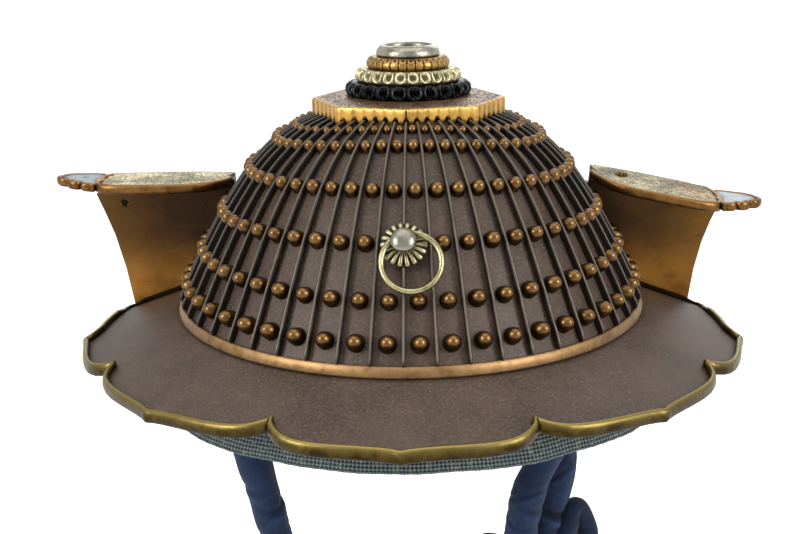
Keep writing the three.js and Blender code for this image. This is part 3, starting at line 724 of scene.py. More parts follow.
def mesh_object(
    name: str,
    points: np.ndarray,
    faces: Sequence[Sequence[int]],
    finishes: Sequence[Finish],
    corner_uv: np.ndarray | None = None,
    marks: dict[str, np.ndarray] | None = None,
    crease: float = 40.0,
) -> Piece:
    """Makes an object from points in millimetres.

    Args:
        name: the object's name.
        points: the vertices.
        faces: vertex numbers of each face.
        finishes: its materials.
        corner_uv: a map place for every corner of every face.
        marks: numbers for each point, by name.
        crease: angle above which an edge stays sharp, in degrees.

    Returns:
        The object.
    """
    mesh = bpy.data.meshes.new(name)
    mesh.from_pydata((np.asarray(points) * MM).tolist(), [], [list(f) for f in faces])
    if corner_uv is not None:
        layer = mesh.uv_layers.new(name="UVMap")
        layer.data.foreach_set("uv", np.asarray(corner_uv, float).ravel())
    # The hollow mark carries painted shade in hollows, folds and undersides. The edge mark carries painted
    # highlights on tops and crests, and also wear on the ribs, paler ridges on the cord and the left flap's tear.
    for key in ("hollow", "edge"):
        values = (marks or {}).get(key)
        store = mesh.attributes.new(key, "FLOAT", "POINT")
        full = np.zeros(len(mesh.vertices)) if values is None else np.clip(values, 0.0, 1.0)
        store.data.foreach_set("value", full.astype(np.float32))
    for finish in finishes:
        mesh.materials.append(finish)
    mesh.update()
    for polygon in mesh.polygons:
        polygon.use_smooth = True
    mesh.set_sharp_from_angle(angle=math.radians(crease))
    made = bpy.data.objects.new(name, mesh)
    bpy.context.scene.collection.objects.link(made)
    return made


def join(name: str, parts: Sequence[Piece]) -> Piece:
    """Puts several objects into one.

    Args:
        name: the new object's name.
        parts: the objects, which are used up.

    Returns:
        The one object.
    """
    bpy.ops.object.select_all(action="DESELECT")
    for part in parts:
        part.select_set(True)
    bpy.context.view_layer.objects.active = parts[0]
    bpy.ops.object.join()
    parts[0].name = name
    parts[0].data.name = name
    return parts[0]


def stand_for(piece: Piece, slot: str, *nodes: str, body: str = HELMET) -> Piece:
    """Lets a piece ride on its body in place of CAD nodes.

    Args:
        piece: the finished piece.
        slot: not used.
        nodes: the CAD nodes that it stands for.
        body: the body that it rides on.

    Returns:
        The piece.
    """
    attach(piece, body)
    if nodes:
        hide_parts(*nodes)
    log.info("%s: %d faces", piece.name, len(piece.data.polygons))
    return piece


def around(radius: Any, angle: Any, z: Any) -> np.ndarray:
    """Points at a radius and a height, by their angle from the back towards the right."""
    return np.stack(np.broadcast_arrays(radius * np.sin(angle), -radius * np.cos(angle), z), -1)


def upright(radius: Any, angle: Any, z: Any) -> np.ndarray:
    """Points at a radius and a height round a piece's own axis."""
    return np.stack(np.broadcast_arrays(radius * np.cos(angle), radius * np.sin(angle), z), -1)


def spread(values: Sequence[float], count: int) -> np.ndarray:
    """A number for each row of a skin, repeated over its columns."""
    return np.repeat(np.array(values, float)[:, None], count, 1)


def distances(line: np.ndarray) -> np.ndarray:
    """How far along a line each of its points is."""
    return np.concatenate([[0.0], np.cumsum(np.linalg.norm(np.diff(line, axis=0), axis=1))])


def outward(line: np.ndarray) -> np.ndarray:
    """Directions out of a profile of radius and height that runs up from its foot."""
    slope = np.gradient(line, axis=0)
    out = np.stack([slope[:, 1], -slope[:, 0]], 1)
    return out / np.linalg.norm(out, axis=1, keepdims=True)


def curve_through(points: Sequence[Sequence[float]], step: float) -> np.ndarray:
    """Evenly spaced points on a smooth line through given ones.

    Args:
        points: the points that the line passes.
        step: about how far apart the new points are.

    Returns:
        The new points.
    """
    p = np.asarray(points, float)
    ends = np.vstack([2 * p[0] - p[1], p, 2 * p[-1] - p[-2]])
    dense = []
    for k in range(1, len(ends) - 2):
        t = np.linspace(0, 1, 40, endpoint=False)[:, None]
        a, b, c, d = ends[k - 1 : k + 3]
        dense.append(
            0.5
            * (
                2 * b
                + (c - a) * t
                + (2 * a - 5 * b + 4 * c - d) * t**2
                + (3 * b - a - 3 * c + d) * t**3
            )
        )
    line = np.vstack([*dense, p[-1:]])
    gone = distances(line)
    count = max(2, int(round(gone[-1] / step)) + 1)
    wanted = np.linspace(0, gone[-1], count)
    return np.stack([np.interp(wanted, gone, line[:, k]) for k in range(3)], 1)


def line_length(points: np.ndarray) -> float:
    """Length of a line of points."""
    return float(np.linalg.norm(np.diff(points, axis=0), axis=1).sum())


def frames_along(path: np.ndarray, start: Sequence[float]) -> tuple[np.ndarray, np.ndarray]:
    """Two directions across a path that turn as little as they can.

    Args:
        path: the path's points.
        start: a direction that the first one is nearest to.

    Returns:
        The two directions at each point.
    """
    along = np.gradient(path, axis=0)
    along /= np.linalg.norm(along, axis=1, keepdims=True)
    first = np.zeros_like(path)
    current = np.asarray(start, float)
    for k, t in enumerate(along):
        current = current - t * float(current @ t)
        current /= np.linalg.norm(current)
        first[k] = current
    return first, np.cross(along, first)


def ease(value: np.ndarray | float, low: float, high: float) -> Any:
    """A soft step from 0 at low to 1 at high."""
    t = np.clip((np.asarray(value, float) - low) / (high - low), 0.0, 1.0)
    return t * t * (3.0 - 2.0 * t)


# Repeated pieces


class Repeat:
    """A Geometry Nodes tree that sets copies of a piece round the bowl."""

    def __init__(self, name: str) -> None:
        """Starts the tree with a geometry socket at each end."""
        self.tree = bpy.data.node_groups.new(name, "GeometryNodeTree")
        self.tree.interface.new_socket("Geometry", in_out="INPUT", socket_type="NodeSocketGeometry")
        self.tree.interface.new_socket("Geometry", in_out="OUTPUT", socket_type="NodeSocketGeometry")

    def size(self, name: str, kind: str = "Float") -> None:
        """Adds a named input.

        Args:
            name: the input's name.
            kind: its socket type, without the prefix.
        """
        self.tree.interface.new_socket(name, in_out="INPUT", socket_type=f"NodeSocket{kind}")

    def add(self, kind: str, settings: dict[str, Any], inputs: dict[Any, Any]) -> bpy.types.Node:
        """Adds a node.

        Args:
            kind: the node's type name.
            settings: its properties.
            inputs: numbers, vectors or sockets by input name or number.

        Returns:
            The node.
        """
        made = self.tree.nodes.new(kind)
        for key, value in settings.items():
            setattr(made, key, value)
        for key, value in inputs.items():
            if isinstance(value, bpy.types.NodeSocket):
                self.tree.links.new(value, made.inputs[key])
            else:
                made.inputs[key].default_value = value
        return made

    def maths(self, operation: str, first: Any, second: Any = 0.0) -> bpy.types.NodeSocket:
        """Adds a Math node and returns its result."""
        return self.add("ShaderNodeMath", {"operation": operation}, {0: first, 1: second}).outputs[0]

    def apply(self, piece: Piece, values: dict[str, Any]) -> Piece:
        """Runs the tree on a piece and keeps the result as a plain mesh.

        Args:
            piece: the piece that is repeated.
            values: the named inputs.

        Returns:
            The same object with its new mesh.
        """
        sockets = {
            item.name: item.identifier
            for item in self.tree.interface.items_tree
            if item.item_type == "SOCKET" and item.in_out == "INPUT"
        }
        modifier = piece.modifiers.new("repeat", "NODES")
        modifier.node_group = self.tree
        for key, value in values.items():
            modifier[sockets[key]] = value
        bpy.context.view_layer.update()
        graph = bpy.context.evaluated_depsgraph_get()
        ready = piece.evaluated_get(graph)
        mesh = bpy.data.meshes.new_from_object(ready, preserve_all_data_layers=True, depsgraph=graph)
        piece.modifiers.clear()
        piece.data = mesh
        mesh.name = piece.name
        return piece


def rib_repeat() -> Repeat:
    """Tree that turns one rib round the bowl's axis and stretches the set to an oval.

    Returns:
        The tree.
    """
    r = Repeat("ribs_round_bowl")
    r.size("Count", "Int")
    r.size("Stretch")
    r.size("Finish", "Material")
    given = r.add("NodeGroupInput", {}, {})
    spots = r.add("GeometryNodePoints", {}, {"Count": given.outputs["Count"]})
    number = r.add("GeometryNodeInputIndex", {}, {}).outputs[0]
    turn = r.maths("DIVIDE", r.maths("MULTIPLY", number, TAU), given.outputs["Count"])
    euler = r.add("ShaderNodeCombineXYZ", {}, {"Z": turn}).outputs[0]
    spin = r.add("FunctionNodeEulerToRotation", {}, {0: euler}).outputs[0]
    copies = r.add(
        "GeometryNodeInstanceOnPoints",
        {},
        {"Points": spots.outputs[0], "Instance": given.outputs["Geometry"], "Rotation": spin},
    )
    real = r.add("GeometryNodeRealizeInstances", {}, {0: copies.outputs[0]})
    scale = r.add("ShaderNodeCombineXYZ", {}, {"X": 1.0, "Y": given.outputs["Stretch"], "Z": 1.0})
    wide = r.add(
        "GeometryNodeTransform", {}, {"Geometry": real.outputs[0], "Scale": scale.outputs[0]}
    )
    done = r.add(
        "GeometryNodeSetMaterial",
        {},
        {"Geometry": wide.outputs[0], "Material": given.outputs["Finish"]},
    )
    end = r.add("NodeGroupOutput", {}, {})
    r.tree.links.new(done.outputs[0], end.inputs[0])
    return r


def rivet_repeat() -> Repeat:
    """Tree that seats one rivet in a row round the bowl, each square to the surface.

    Returns:
        The tree.
    """
    r = Repeat("rivets_round_bowl")
    for name, kind in (
        ("Count", "Int"),
        ("Half Width", "Float"),
        ("Stretch", "Float"),
        ("Height", "Float"),
        ("Drop", "Float"),
        ("Slope", "Float"),
        ("First Turn", "Float"),
        ("Bare Half Width", "Float"),
        ("Size", "Float"),
        ("Size Spread", "Float"),
        ("Seed", "Int"),
        ("Finish", "Material"),
    ):
        r.size(name, kind)
    given = r.add("NodeGroupInput", {}, {})
    get = given.outputs
    circle = r.add(
        "GeometryNodeMeshCircle", {}, {"Vertices": get["Count"], "Radius": get["Half Width"]}
    )
    euler = r.add("ShaderNodeCombineXYZ", {}, {"Z": get["First Turn"]}).outputs[0]
    spin = r.add("FunctionNodeEulerToRotation", {}, {0: euler}).outputs[0]
    turned = r.add(
        "GeometryNodeTransform", {}, {"Geometry": circle.outputs[0], "Rotation": spin}
    )
    here = r.add("GeometryNodeInputPosition", {}, {}).outputs[0]
    flat = r.add("ShaderNodeSeparateXYZ", {}, {0: here}).outputs
    share = r.maths("DIVIDE", flat[0], get["Half Width"])
    lower = r.maths("MULTIPLY", get["Drop"], r.maths("MULTIPLY", share, share))
    wider = r.maths("DIVIDE", r.maths("MULTIPLY", lower, get["Slope"]), get["Half Width"])
    shift = r.add(
        "ShaderNodeCombineXYZ",
        {},
        {
            "X": r.maths("MULTIPLY", flat[0], wider),
            "Y": r.maths("MULTIPLY", flat[1], wider),
            "Z": r.maths("MULTIPLY", lower, -1.0),
        },
    )
    dropped = r.add(
        "GeometryNodeSetPosition", {}, {"Geometry": turned.outputs[0], "Offset": shift.outputs[0]}
    )
    lift = r.add("ShaderNodeCombineXYZ", {}, {"Z": get["Height"]}).outputs[0]
    scale = r.add("ShaderNodeCombineXYZ", {}, {"X": 1.0, "Y": get["Stretch"], "Z": 1.0}).outputs[0]
    oval = r.add(
        "GeometryNodeTransform",
        {},
        {"Geometry": dropped.outputs[0], "Translation": lift, "Scale": scale},
    )
    place = r.add("GeometryNodeInputPosition", {}, {}).outputs[0]
    split = r.add("ShaderNodeSeparateXYZ", {}, {0: place})
    square = r.maths("MULTIPLY", get["Stretch"], get["Stretch"])
    normal = r.add(
        "ShaderNodeCombineXYZ",
        {},
        {
            "X": split.outputs[0],
            "Y": r.maths("DIVIDE", split.outputs[1], square),
            "Z": r.maths("MULTIPLY", get["Half Width"], get["Slope"]),
        },
    ).outputs[0]
    near_middle = r.maths("LESS_THAN", r.maths("ABSOLUTE", split.outputs[0]), get["Bare Half Width"])
    at_back = r.maths("LESS_THAN", split.outputs[1], 0.0)
    bare = r.add(
        "GeometryNodeDeleteGeometry",
        {"domain": "POINT"},
        {"Geometry": oval.outputs[0], "Selection": r.maths("MULTIPLY", near_middle, at_back)},
    )
    aim = r.add("FunctionNodeAlignRotationToVector", {"axis": "Z"}, {"Vector": normal}).outputs[0]
    low = r.maths("SUBTRACT", get["Size"], get["Size Spread"])
    high = r.maths("ADD", get["Size"], get["Size Spread"])
    chance = r.add("FunctionNodeRandomValue", {"data_type": "FLOAT"}, {})
    r.tree.links.new(low, chance.inputs[2])
    r.tree.links.new(high, chance.inputs[3])
    r.tree.links.new(get["Seed"], chance.inputs["Seed"])
    copies = r.add(
        "GeometryNodeInstanceOnPoints",
        {},
        {
            "Points": bare.outputs[0],
            "Instance": get["Geometry"],
            "Rotation": aim,
            "Scale": chance.outputs[1],
        },
    )
    real = r.add("GeometryNodeRealizeInstances", {}, {0: copies.outputs[0]})
    done = r.add(
        "GeometryNodeSetMaterial", {}, {"Geometry": real.outputs[0], "Material": get["Finish"]}
    )
    end = r.add("NodeGroupOutput", {}, {})
    r.tree.links.new(done.outputs[0], end.inputs[0])
    return r


# The studio


@dataclass
class Studio:
    """Camera, soft lights and a pale floor."""

    camera_place: tuple[float, float, float] = (17.47, -642.9, 183.9)
    look: tuple[float, float, float] = (-0.03386, 0.96550, -0.25819)
    roll_degrees: float = 0.79
    focal_pixels: float = 1357.0
    image_width: float = 800.0
    floor_height: float = -420.0

    def aim(self) -> None:
        """Sets the camera where the photograph was taken from."""
        data = bpy.data.cameras.new("camera")
        data.sensor_width = 36.0
        data.lens = 36.0 * self.focal_pixels / self.image_width
        data.clip_start = 0.01
        camera = bpy.data.objects.new("camera", data)
        bpy.context.scene.collection.objects.link(camera)
        ahead = Vector(self.look).normalized()
        right = ahead.cross(Vector((0, 0, 1))).normalized()
        up = right.cross(ahead)
        turn = math.radians(self.roll_degrees)
        side = right * math.cos(turn) - up * math.sin(turn)
        top = right * math.sin(turn) + up * math.cos(turn)
        grid = Matrix((side, top, -ahead)).transposed().to_4x4()
        grid.translation = Vector(self.camera_place) * MM
        camera.matrix_world = grid
        bpy.context.scene.camera = camera

    def light(
        self, name: str, place: Sequence[float], size: tuple[float, float], power: float
    ) -> None:
        """Adds one soft light that points at the bowl.

        Args:
            name: its name.
            place: where it stands, in metres.
            size: its width and height, in metres.
            power: its strength in watts.
        """
        data = bpy.data.lights.new(name, "AREA")
        data.shape = "RECTANGLE"
        data.size, data.size_y = size
        data.energy = power
        lamp = bpy.data.objects.new(name, data)
        bpy.context.scene.collection.objects.link(lamp)
        lamp.location = place
        aim = Vector((0.0, 0.0, 0.03)) - Vector(place)
        lamp.rotation_euler = aim.to_track_quat("-Z", "Y").to_euler()

    def build(self) -> None:
        """Makes the lights, the floor and the pale surroundings."""
        bpy.context.scene.view_settings.view_transform = "Standard"
        self.light("left_softbox", (-1.3, -1.0, 0.75), (0.5, 0.9), 26.0)
        self.light("right_softbox", (1.35, -0.9, 0.7), (0.5, 0.9), 24.0)
        self.light("top_softbox", (0.0, -0.15, 1.5), (1.6, 1.2), 12.0)
        self.light("back_softbox", (0.2, 1.5, 0.9), (1.4, 0.9), 8.0)
        g = Graph("pale_floor")
        floor_finish = g.surface(
            {
                "Base Color": (0.8, 0.8, 0.8, 1.0),
                "Roughness": 0.9,
                "Emission Color": (1.0, 1.0, 1.0, 1.0),
                "Emission Strength": 0.35,
                "Specular IOR Level": 0.1,
            }
        )
        half = 9000.0
        corners = np.array([[-half, -half, 0], [half, -half, 0], [half, half, 0], [-half, half, 0]])
        corners[:, 2] = self.floor_height
        floor = mesh_object("floor", corners, [[0, 1, 2, 3]], [floor_finish])
        world = bpy.data.worlds.new("pale_room")
        bpy.context.scene.world = world
        world.use_nodes = True
        world.node_tree.nodes["Background"].inputs[0].default_value = (1.0, 1.0, 1.0, 1.0)
        world.node_tree.nodes["Background"].inputs[1].default_value = 1.0


# Chin cord


class Strand(Enum):
    """The chin cord's stretches: points of the middle line, in millimetres."""

    LEFT = (
        (-97.5, -14.0, -4.5), (-93.5, -14.0, -30.0), (-89.5, -14.0, -48.0), (-84.5, -14.0, -66.0),
        (-79.2, -14.0, -84.2), (-74.2, -14.0, -104.0), (-69.2, -14.0, -124.5), (-62.5, -13.0, -145.0),
        (-52.0, -11.0, -164.0), (-37.0, -8.0, -181.0), (-18.0, -4.0, -192.0), (3.0, 0.0, -196.5),
        (24.0, 3.5, -194.5), (42.0, 6.0, -187.0), (54.0, 6.5, -176.5), (59.0, 6.5, -163.0),
        (61.0, 6.5, -153.0),
    )
    RIGHT_FRONT = (
        (96.5, -14.0, -4.5), (89.4, -14.2, -26.0), (81.4, -14.6, -46.0), (73.6, -15.0, -64.0),
        (66.2, -15.4, -81.0), (59.2, -15.6, -97.0), (55.8, -15.2, -113.0), (54.4, -13.6, -128.0),
        (56.0, -7.0, -142.0), (58.5, -1.0, -150.0),
    )
    RIGHT_BACK = (
        (97.0, 4.6, -4.5), (90.5, 4.8, -30.0), (83.5, 5.0, -52.0), (78.4, 5.2, -72.0),
        (75.6, 5.4, -90.0), (74.4, 5.8, -103.0), (72.0, 6.0, -118.0), (67.0, 6.0, -138.0),
        (64.5, 6.2, -148.0),
    )


@dataclass
class ChinCord:
    """Padded cloth cord that hangs from both sides of the mouth and is tied in a bow."""

    radius: float = 8.3
    sides: int = 44
    step: float = 0.9
    knot: tuple[float, float, float] = (62.0, 6.0, -152.0)

    def wrinkled(
        self, name: str, path: np.ndarray, radius: np.ndarray, start: Sequence[float], seed: int,
        squash: float = 1.0,
    ) -> Skin:
        """A tube of gathered cloth with slanting creases.

        Args:
            name: only used to tell the tubes apart in the log.
            path: the middle line.
            radius: the tube's radius at each point of it.
            start: direction that the map starts from.
            seed: picks the creases.
            squash: thickness over width.

        Returns:
            The tube's skin.
        """
        rng = np.random.default_rng(seed)
        first, second = frames_along(path, start)
        gone = distances(path)
        angle = np.linspace(0, TAU, self.sides, endpoint=False)
        s, phi = np.meshgrid(gone, angle, indexing="ij")
        dent = np.zeros_like(s)
        for _ in range(int(gone[-1] / 6.5) + 2):
            at = rng.uniform(-5, gone[-1] + 5)
            slant = rng.uniform(-9.0, 9.0)
            turn = rng.uniform(0, TAU)
            side = rng.uniform(0, TAU)
            depth = rng.uniform(0.25, 1.0)
            width = rng.uniform(1.0, 2.6)
            away = s - at - slant * np.sin(phi - turn)
            reach = np.clip(0.5 + 0.5 * np.cos(phi - side), 0, 1) ** 1.5
            dent += depth * np.exp(-((away / width) ** 2)) * reach
            dent -= 0.35 * depth * np.exp(-(((away - 2.2 * width) / width) ** 2)) * reach
        for _ in range(5):
            turn = rng.uniform(0, TAU)
            twist = rng.uniform(-0.012, 0.012)
            away = np.angle(np.exp(1j * (phi - turn - twist * s)))
            fade = 0.5 + 0.5 * np.sin(s * rng.uniform(0.02, 0.06) + turn)
            dent += 0.45 * fade * np.exp(-((away / 0.16) ** 2))
        lump = 0.35 * np.sin(s * 0.21 + seed) + 0.25 * np.sin(s * 0.093 + 2.0 * seed)
        reach = radius[:, None] - np.clip(dent, -0.6, 1.7) + lump
        offset = (
            first[:, None, :] * (np.cos(phi) * reach)[..., None]
            + second[:, None, :] * (np.sin(phi) * reach * squash)[..., None]
        )
        log.info("%s is %.0f mm long", name, gone[-1])
        # The hollow mark paints shade in the creases; the edge mark pales the ridges beside them.
        return Skin(
            path[:, None, :] + offset,
            ends=Ends.FAN,
            size=(TAU * self.radius, gone[-1]),
            marks={"hollow": np.clip(dent / 1.3, 0, 1), "edge": np.clip(-dent * 2.0, 0, 1)},
            crease=80.0,
        )

    def strand(
        self, which: Strand, name: str, node: str, finish: Finish, seed: int
    ) -> tuple[Piece, np.ndarray]:
        """Makes one stretch of the cord.

        Args:
            which: its route.
            name: the piece's name.
            node: the CAD node that it stands for.
            finish: its cloth.
            seed: picks its creases.

        Returns:
            The piece and its middle line.
        """
        path = curve_through(which.value, self.step)
        radius = np.full(len(path), self.radius)
        skin = self.wrinkled(name, path, radius, (0, -1, 0.1), seed)
        piece = skin.build(name, finish)
        stand_for(piece, "cord_cloth", node)
        return piece, path

    def bow(self, finish: Finish) -> Piece:
        """Makes the tied bow: two loops of the cord and the wrap that holds them.

        Args:
            finish: its cloth.

        Returns:
            The piece.
        """
        x, y, z = self.knot
        right = [
            (x + 4, y - 4, z - 2), (x + 13, y - 5, z + 9), (x + 17, y - 3, z + 22), (x + 21, y + 1, z + 33),
            (x + 25.5, y + 3, z + 27), (x + 29, y + 3, z + 12), (x + 24, y + 1, z - 1), (x + 10, y - 1, z - 5),
        ]
        left = [
            (x - 3, y + 2, z + 1), (x - 14, y + 3, z + 9), (x - 26, y + 4, z + 10.5), (x - 33, y + 4, z + 2),
            (x - 29, y + 3, z - 7), (x - 15, y + 1, z - 8), (x - 3, y, z - 4),
        ]
        wrap = [
            (x - 9, y - 7, z - 6), (x - 2, y - 11.5, z - 2), (x + 8, y - 9.5, z + 3), (x + 12, y - 1, z + 4),
            (x + 6, y + 6, z + 1), (x - 5, y + 7, z - 4),
        ]
        heart = [(x - 9, y + 4, z - 13), (x - 3, y + 6, z - 5), (x + 2, y + 7, z + 3), (x + 5, y + 6, z + 13)]
        tubes = ((right, 6.0, 0.9, 0.14), (left, 5.6, 0.9, 0.14), (wrap, 6.6, 0.8, 0.14))
        tubes += ((heart, 11.0, 0.8, 0.75),)
        parts = []
        for index, (line, thick, flat, swell) in enumerate(tubes):
            path = curve_through(line, self.step)
            share = np.linspace(0, 1, len(path))
            radius = thick * (1 - swell + swell * np.sin(np.pi * share) ** 0.6)
            skin = self.wrinkled(f"bow_{index}", path, radius, (0, -1, 0.2), 40 + index, flat)
            parts.append(skin.build(f"bow_{index}", finish))
        return join("chin_bow", parts)

    def build(self, finish: Finish, bow_shade_cloth: Finish) -> None:
        """Args:
            finish: its cloth.
            bow_shade_cloth: a darker copy of the cord's cloth, painted shade on the bow.
        """
        left, left_path = self.strand(Strand.LEFT, "chin_cord_of_left_side", "chin_cord_left", finish, 3)
        front, front_path = self.strand(
            Strand.RIGHT_FRONT, "chin_cord_of_right_front", "chin_cord_right_front", finish, 11
        )
        back, back_path = self.strand(
            Strand.RIGHT_BACK, "chin_cord_of_right_back", "chin_cord_right_back", finish, 19
        )
        bow = stand_for(self.bow(bow_shade_cloth), "cord_cloth", "chin_knot")
        for piece, path, extra in ((left, left_path, [bow]), (front, front_path, []), (back, back_path, [])):
            tuple(path[0] * MM)
            line_length(path) * MM
            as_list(extra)


# Bowl


@dataclass
class Bowl:
    """The bowl of fifty plates with its ribs, rivets and waist band."""

    wall: float = 2.2
    crown_hole: float = 10.6
    profile: tuple[tuple[float, float], ...] = (
        (-2.5, 110.4), (1.0, 109.6), (4.5, 107.8), (20.0, 100.2), (29.4, 95.4), (42.0, 88.4),
        (52.0, 82.1), (62.0, 75.0), (70.0, 67.8), (76.0, 61.0), (81.0, 54.2), (84.2, 48.6),
        (87.4, 41.4), (90.3, 31.0), (92.4, 10.6),
    )
    rows: tuple[tuple[float, float, float, float], ...] = (
        (9.3, -0.5, 1.17, 0.0), (25.0, -1.0, 1.13, 0.0), (46.3, 2.5, 1.1, 8.0), (65.6, 3.0, 1.04, 0.0),
        (80.9, 5.0, 0.88, 0.0), (86.4, 4.0, 0.62, 0.0),
    )

    def half(self, z: Any) -> np.ndarray:
        """Half width of the bowl's outside at a height."""
        table = np.array(self.profile)
        return np.interp(z, table[:, 0], table[:, 1])

    def outline(self, count: int) -> np.ndarray:
        """The profile as evenly spaced points of half width and height.

        Args:
            count: how many points.

        Returns:
            Array of half width and height.
        """
        line = curve_through([(h, 0.0, z) for z, h in self.profile], 0.5)
        pick = np.linspace(0, len(line) - 1, count).round().astype(int)
        return line[pick][:, [0, 2]]

    def shell(self, finish: Finish) -> Piece:
        """Makes the lapped plates as one shell, each plate a little flat.

        Args:
            finish: its lacquer.

        Returns:
            The shell.
        """
        per_plate = 6
        outer = self.outline(64)
        inner = outer[::-1].copy()
        slope = np.gradient(inner, axis=0)
        normal = np.stack([-slope[:, 1], slope[:, 0]], 1)
        normal /= np.linalg.norm(normal, axis=1, keepdims=True)
        inner += normal * np.where(normal[:, :1] < 0, 1, -1) * self.wall
        inner[:, 1] = np.clip(inner[:, 1], self.profile[0][0], None)
        inner[:, 0] = np.clip(inner[:, 0], self.crown_hole, None)
        section = np.vstack([outer, inner])
        k = np.arange(RIBS * per_plate)
        base = (k // per_plate) * (TAU / RIBS)
        share = (k % per_plate) / per_plate
        chord = np.cos(math.pi / RIBS) / np.cos((share - 0.5) * TAU / RIBS)
        flat = 1.0 - (1.0 - chord) * 0.9
        angle = base + share * TAU / RIBS
        x = section[:, :1] * flat * np.sin(angle)
        y = -section[:, :1] * flat * np.cos(angle) * STRETCH
        z = np.repeat(section[:, 1:], len(k), 1)
        return Skin(np.stack([x, y, z], -1), size=(690.0, 320.0), crease=50.0).build(
            "bowl_plates", finish
        )

    def ribs(self, finish: Finish) -> Piece:
        """Makes one rib with a rolled edge and repeats it at every joint.

        Args:
            finish: its lacquer.

        Returns:
            The ribs.
        """
        line = self.outline(90)
        keep = (line[:, 1] > -0.4) & (line[:, 1] < 88.8)
        line = line[keep]
        out = outward(line)
        section = np.array(
            [
                (-0.5, -1.0, 0.0), (-0.5, 1.6, 0.0), (-0.68, 2.1, 0.15), (-0.76, 2.6, 0.3), (-0.58, 3.15, 0.6),
                (-0.1, 3.4, 1.0), (0.56, 3.15, 0.4), (0.76, 2.6, 0.2), (0.68, 2.1, 0.1), (0.5, 1.6, 0.0),
                (0.5, -1.0, 0.0),
            ]
        )
        share = np.linspace(0, 1, len(line))
        foot = ease(share, 0.0, 0.018)
        head = 1.0 - 0.35 * ease(share, 0.8, 1.0)
        rise = (0.55 + 0.45 * foot) * head
        width = (0.45 + 0.55 * foot) * (1.0 - 0.15 * ease(share, 0.6, 1.0))
        across = section[None, :, 0] * width[:, None]
        up = section[None, :, 1] * rise[:, None]
        radial = line[:, 0, None] + out[:, 0, None] * up
        z = line[:, 1, None] + out[:, 1, None] * up
        rows = np.stack([across, -radial, z], -1)
        # The section's third column pales the rolled crest, as wear and as a painted highlight.
        mark = np.repeat(section[None, :, 2], len(line), 0)
        skin = Skin(rows, ends=Ends.FAN, size=(9.0, 130.0), marks={"edge": mark}, crease=60.0)
        one = skin.build("bowl_ribs", finish)
        return rib_repeat().apply(one, {"Count": RIBS, "Stretch": STRETCH, "Finish": finish})

    def rivet(self, finish: Finish) -> Piece:
        """Makes one domed rivet with a burred foot, point up at the origin."""
        profile = np.array(
            [
                (2.9, -1.2), (3.4, -0.2), (3.42, 0.45), (3.25, 0.75), (3.18, 1.9), (2.75, 3.4), (1.85, 4.7),
                (0.75, 5.35),
            ]
        )
        angle = np.linspace(0, TAU, 12, endpoint=False)
        # Painted shade round the burred foot, painted highlights on the burr's rim and the dome's top.
        marks = {
            "hollow": spread([1, 0.9, 0.35, 0.5, 0.1, 0, 0, 0], len(angle)),
            "edge": spread([0, 0, 0.5, 0, 0, 0.2, 0.6, 0.8], len(angle)),
        }
        rows = upright(profile[:, :1], angle, profile[:, 1:])
        return Skin(rows, ends=Ends.FAN, size=(20.0, 9.0), marks=marks, crease=70.0).build("rivet", finish)

    def rivets(self, finish: Finish) -> Piece:
        """Sets the rivets in their rows between the ribs.

        Args:
            finish: their bronze.

        Returns:
            The rivets.
        """
        tree = rivet_repeat()
        parts = []
        for index, (z, drop, size, bare) in enumerate(self.rows):
            slope = float(self.half(z - 1.5) - self.half(z + 1.5)) / 3.0
            flat = math.cos(math.pi / RIBS)
            row = self.rivet(finish)
            tree.apply(
                row,
                {
                    "Count": RIBS,
                    "Half Width": float(self.half(z)) * flat * MM,
                    "Stretch": STRETCH,
                    "Height": z * MM,
                    "Drop": drop * MM,
                    "Slope": slope,
                    "First Turn": -math.pi / 2 + math.pi / RIBS,
                    "Bare Half Width": bare * MM,
                    "Size": size,
                    "Size Spread": 0.035,
                    "Seed": 7 + index,
                    "Finish": finish,
                },
            )
            parts.append(row)
        return join("bowl_rivets", parts)

    def band(self, finish: Finish) -> Piece:
        """Makes the narrow gilt band round the bowl's foot."""
        section = np.array(
            [
                (110.3, 1.8), (111.0, 1.75), (111.5, 1.2), (112.0, -0.2), (112.4, -2.2), (112.3, -2.8),
                (111.6, -2.9), (110.9, -1.0),
            ]
        )
        angle = np.linspace(0, TAU, 300, endpoint=False)
        rows = around(section[:, :1], angle, section[:, 1:]) * (1.0, STRETCH, 1.0)
        # Painted shade where the band tucks against the bowl and on its underside, painted highlights along its
        # upper edge and lower bulge.
        hollow = spread([0.7, 0.25, 0, 0, 0.1, 0.6, 1, 1], len(angle))
        edge = spread([0, 0.5, 0.3, 0, 0.3, 0, 0, 0], len(angle))
        made = Skin(rows, size=(730.0, 10.0), marks={"hollow": hollow, "edge": edge})
        return made.build("waist_band_metal", finish)

    def build(self, plates: Finish, ribs: Finish, rivets: Finish, band: Finish) -> None:
        """Makes the whole bowl.

        Args:
            plates: lacquer of the plates.
            ribs: lacquer of the ribs.
            rivets: bronze of the rivets.
            band: gilding of the waist band.
        """
        stand_for(self.shell(plates), "russet_iron", "bowl")
        stand_for(self.ribs(ribs), "russet_iron")
        stand_for(self.rivets(rivets), "russet_iron")
        stand_for(self.band(band), "gilt_copper", "waist_band")


# Crown fitting


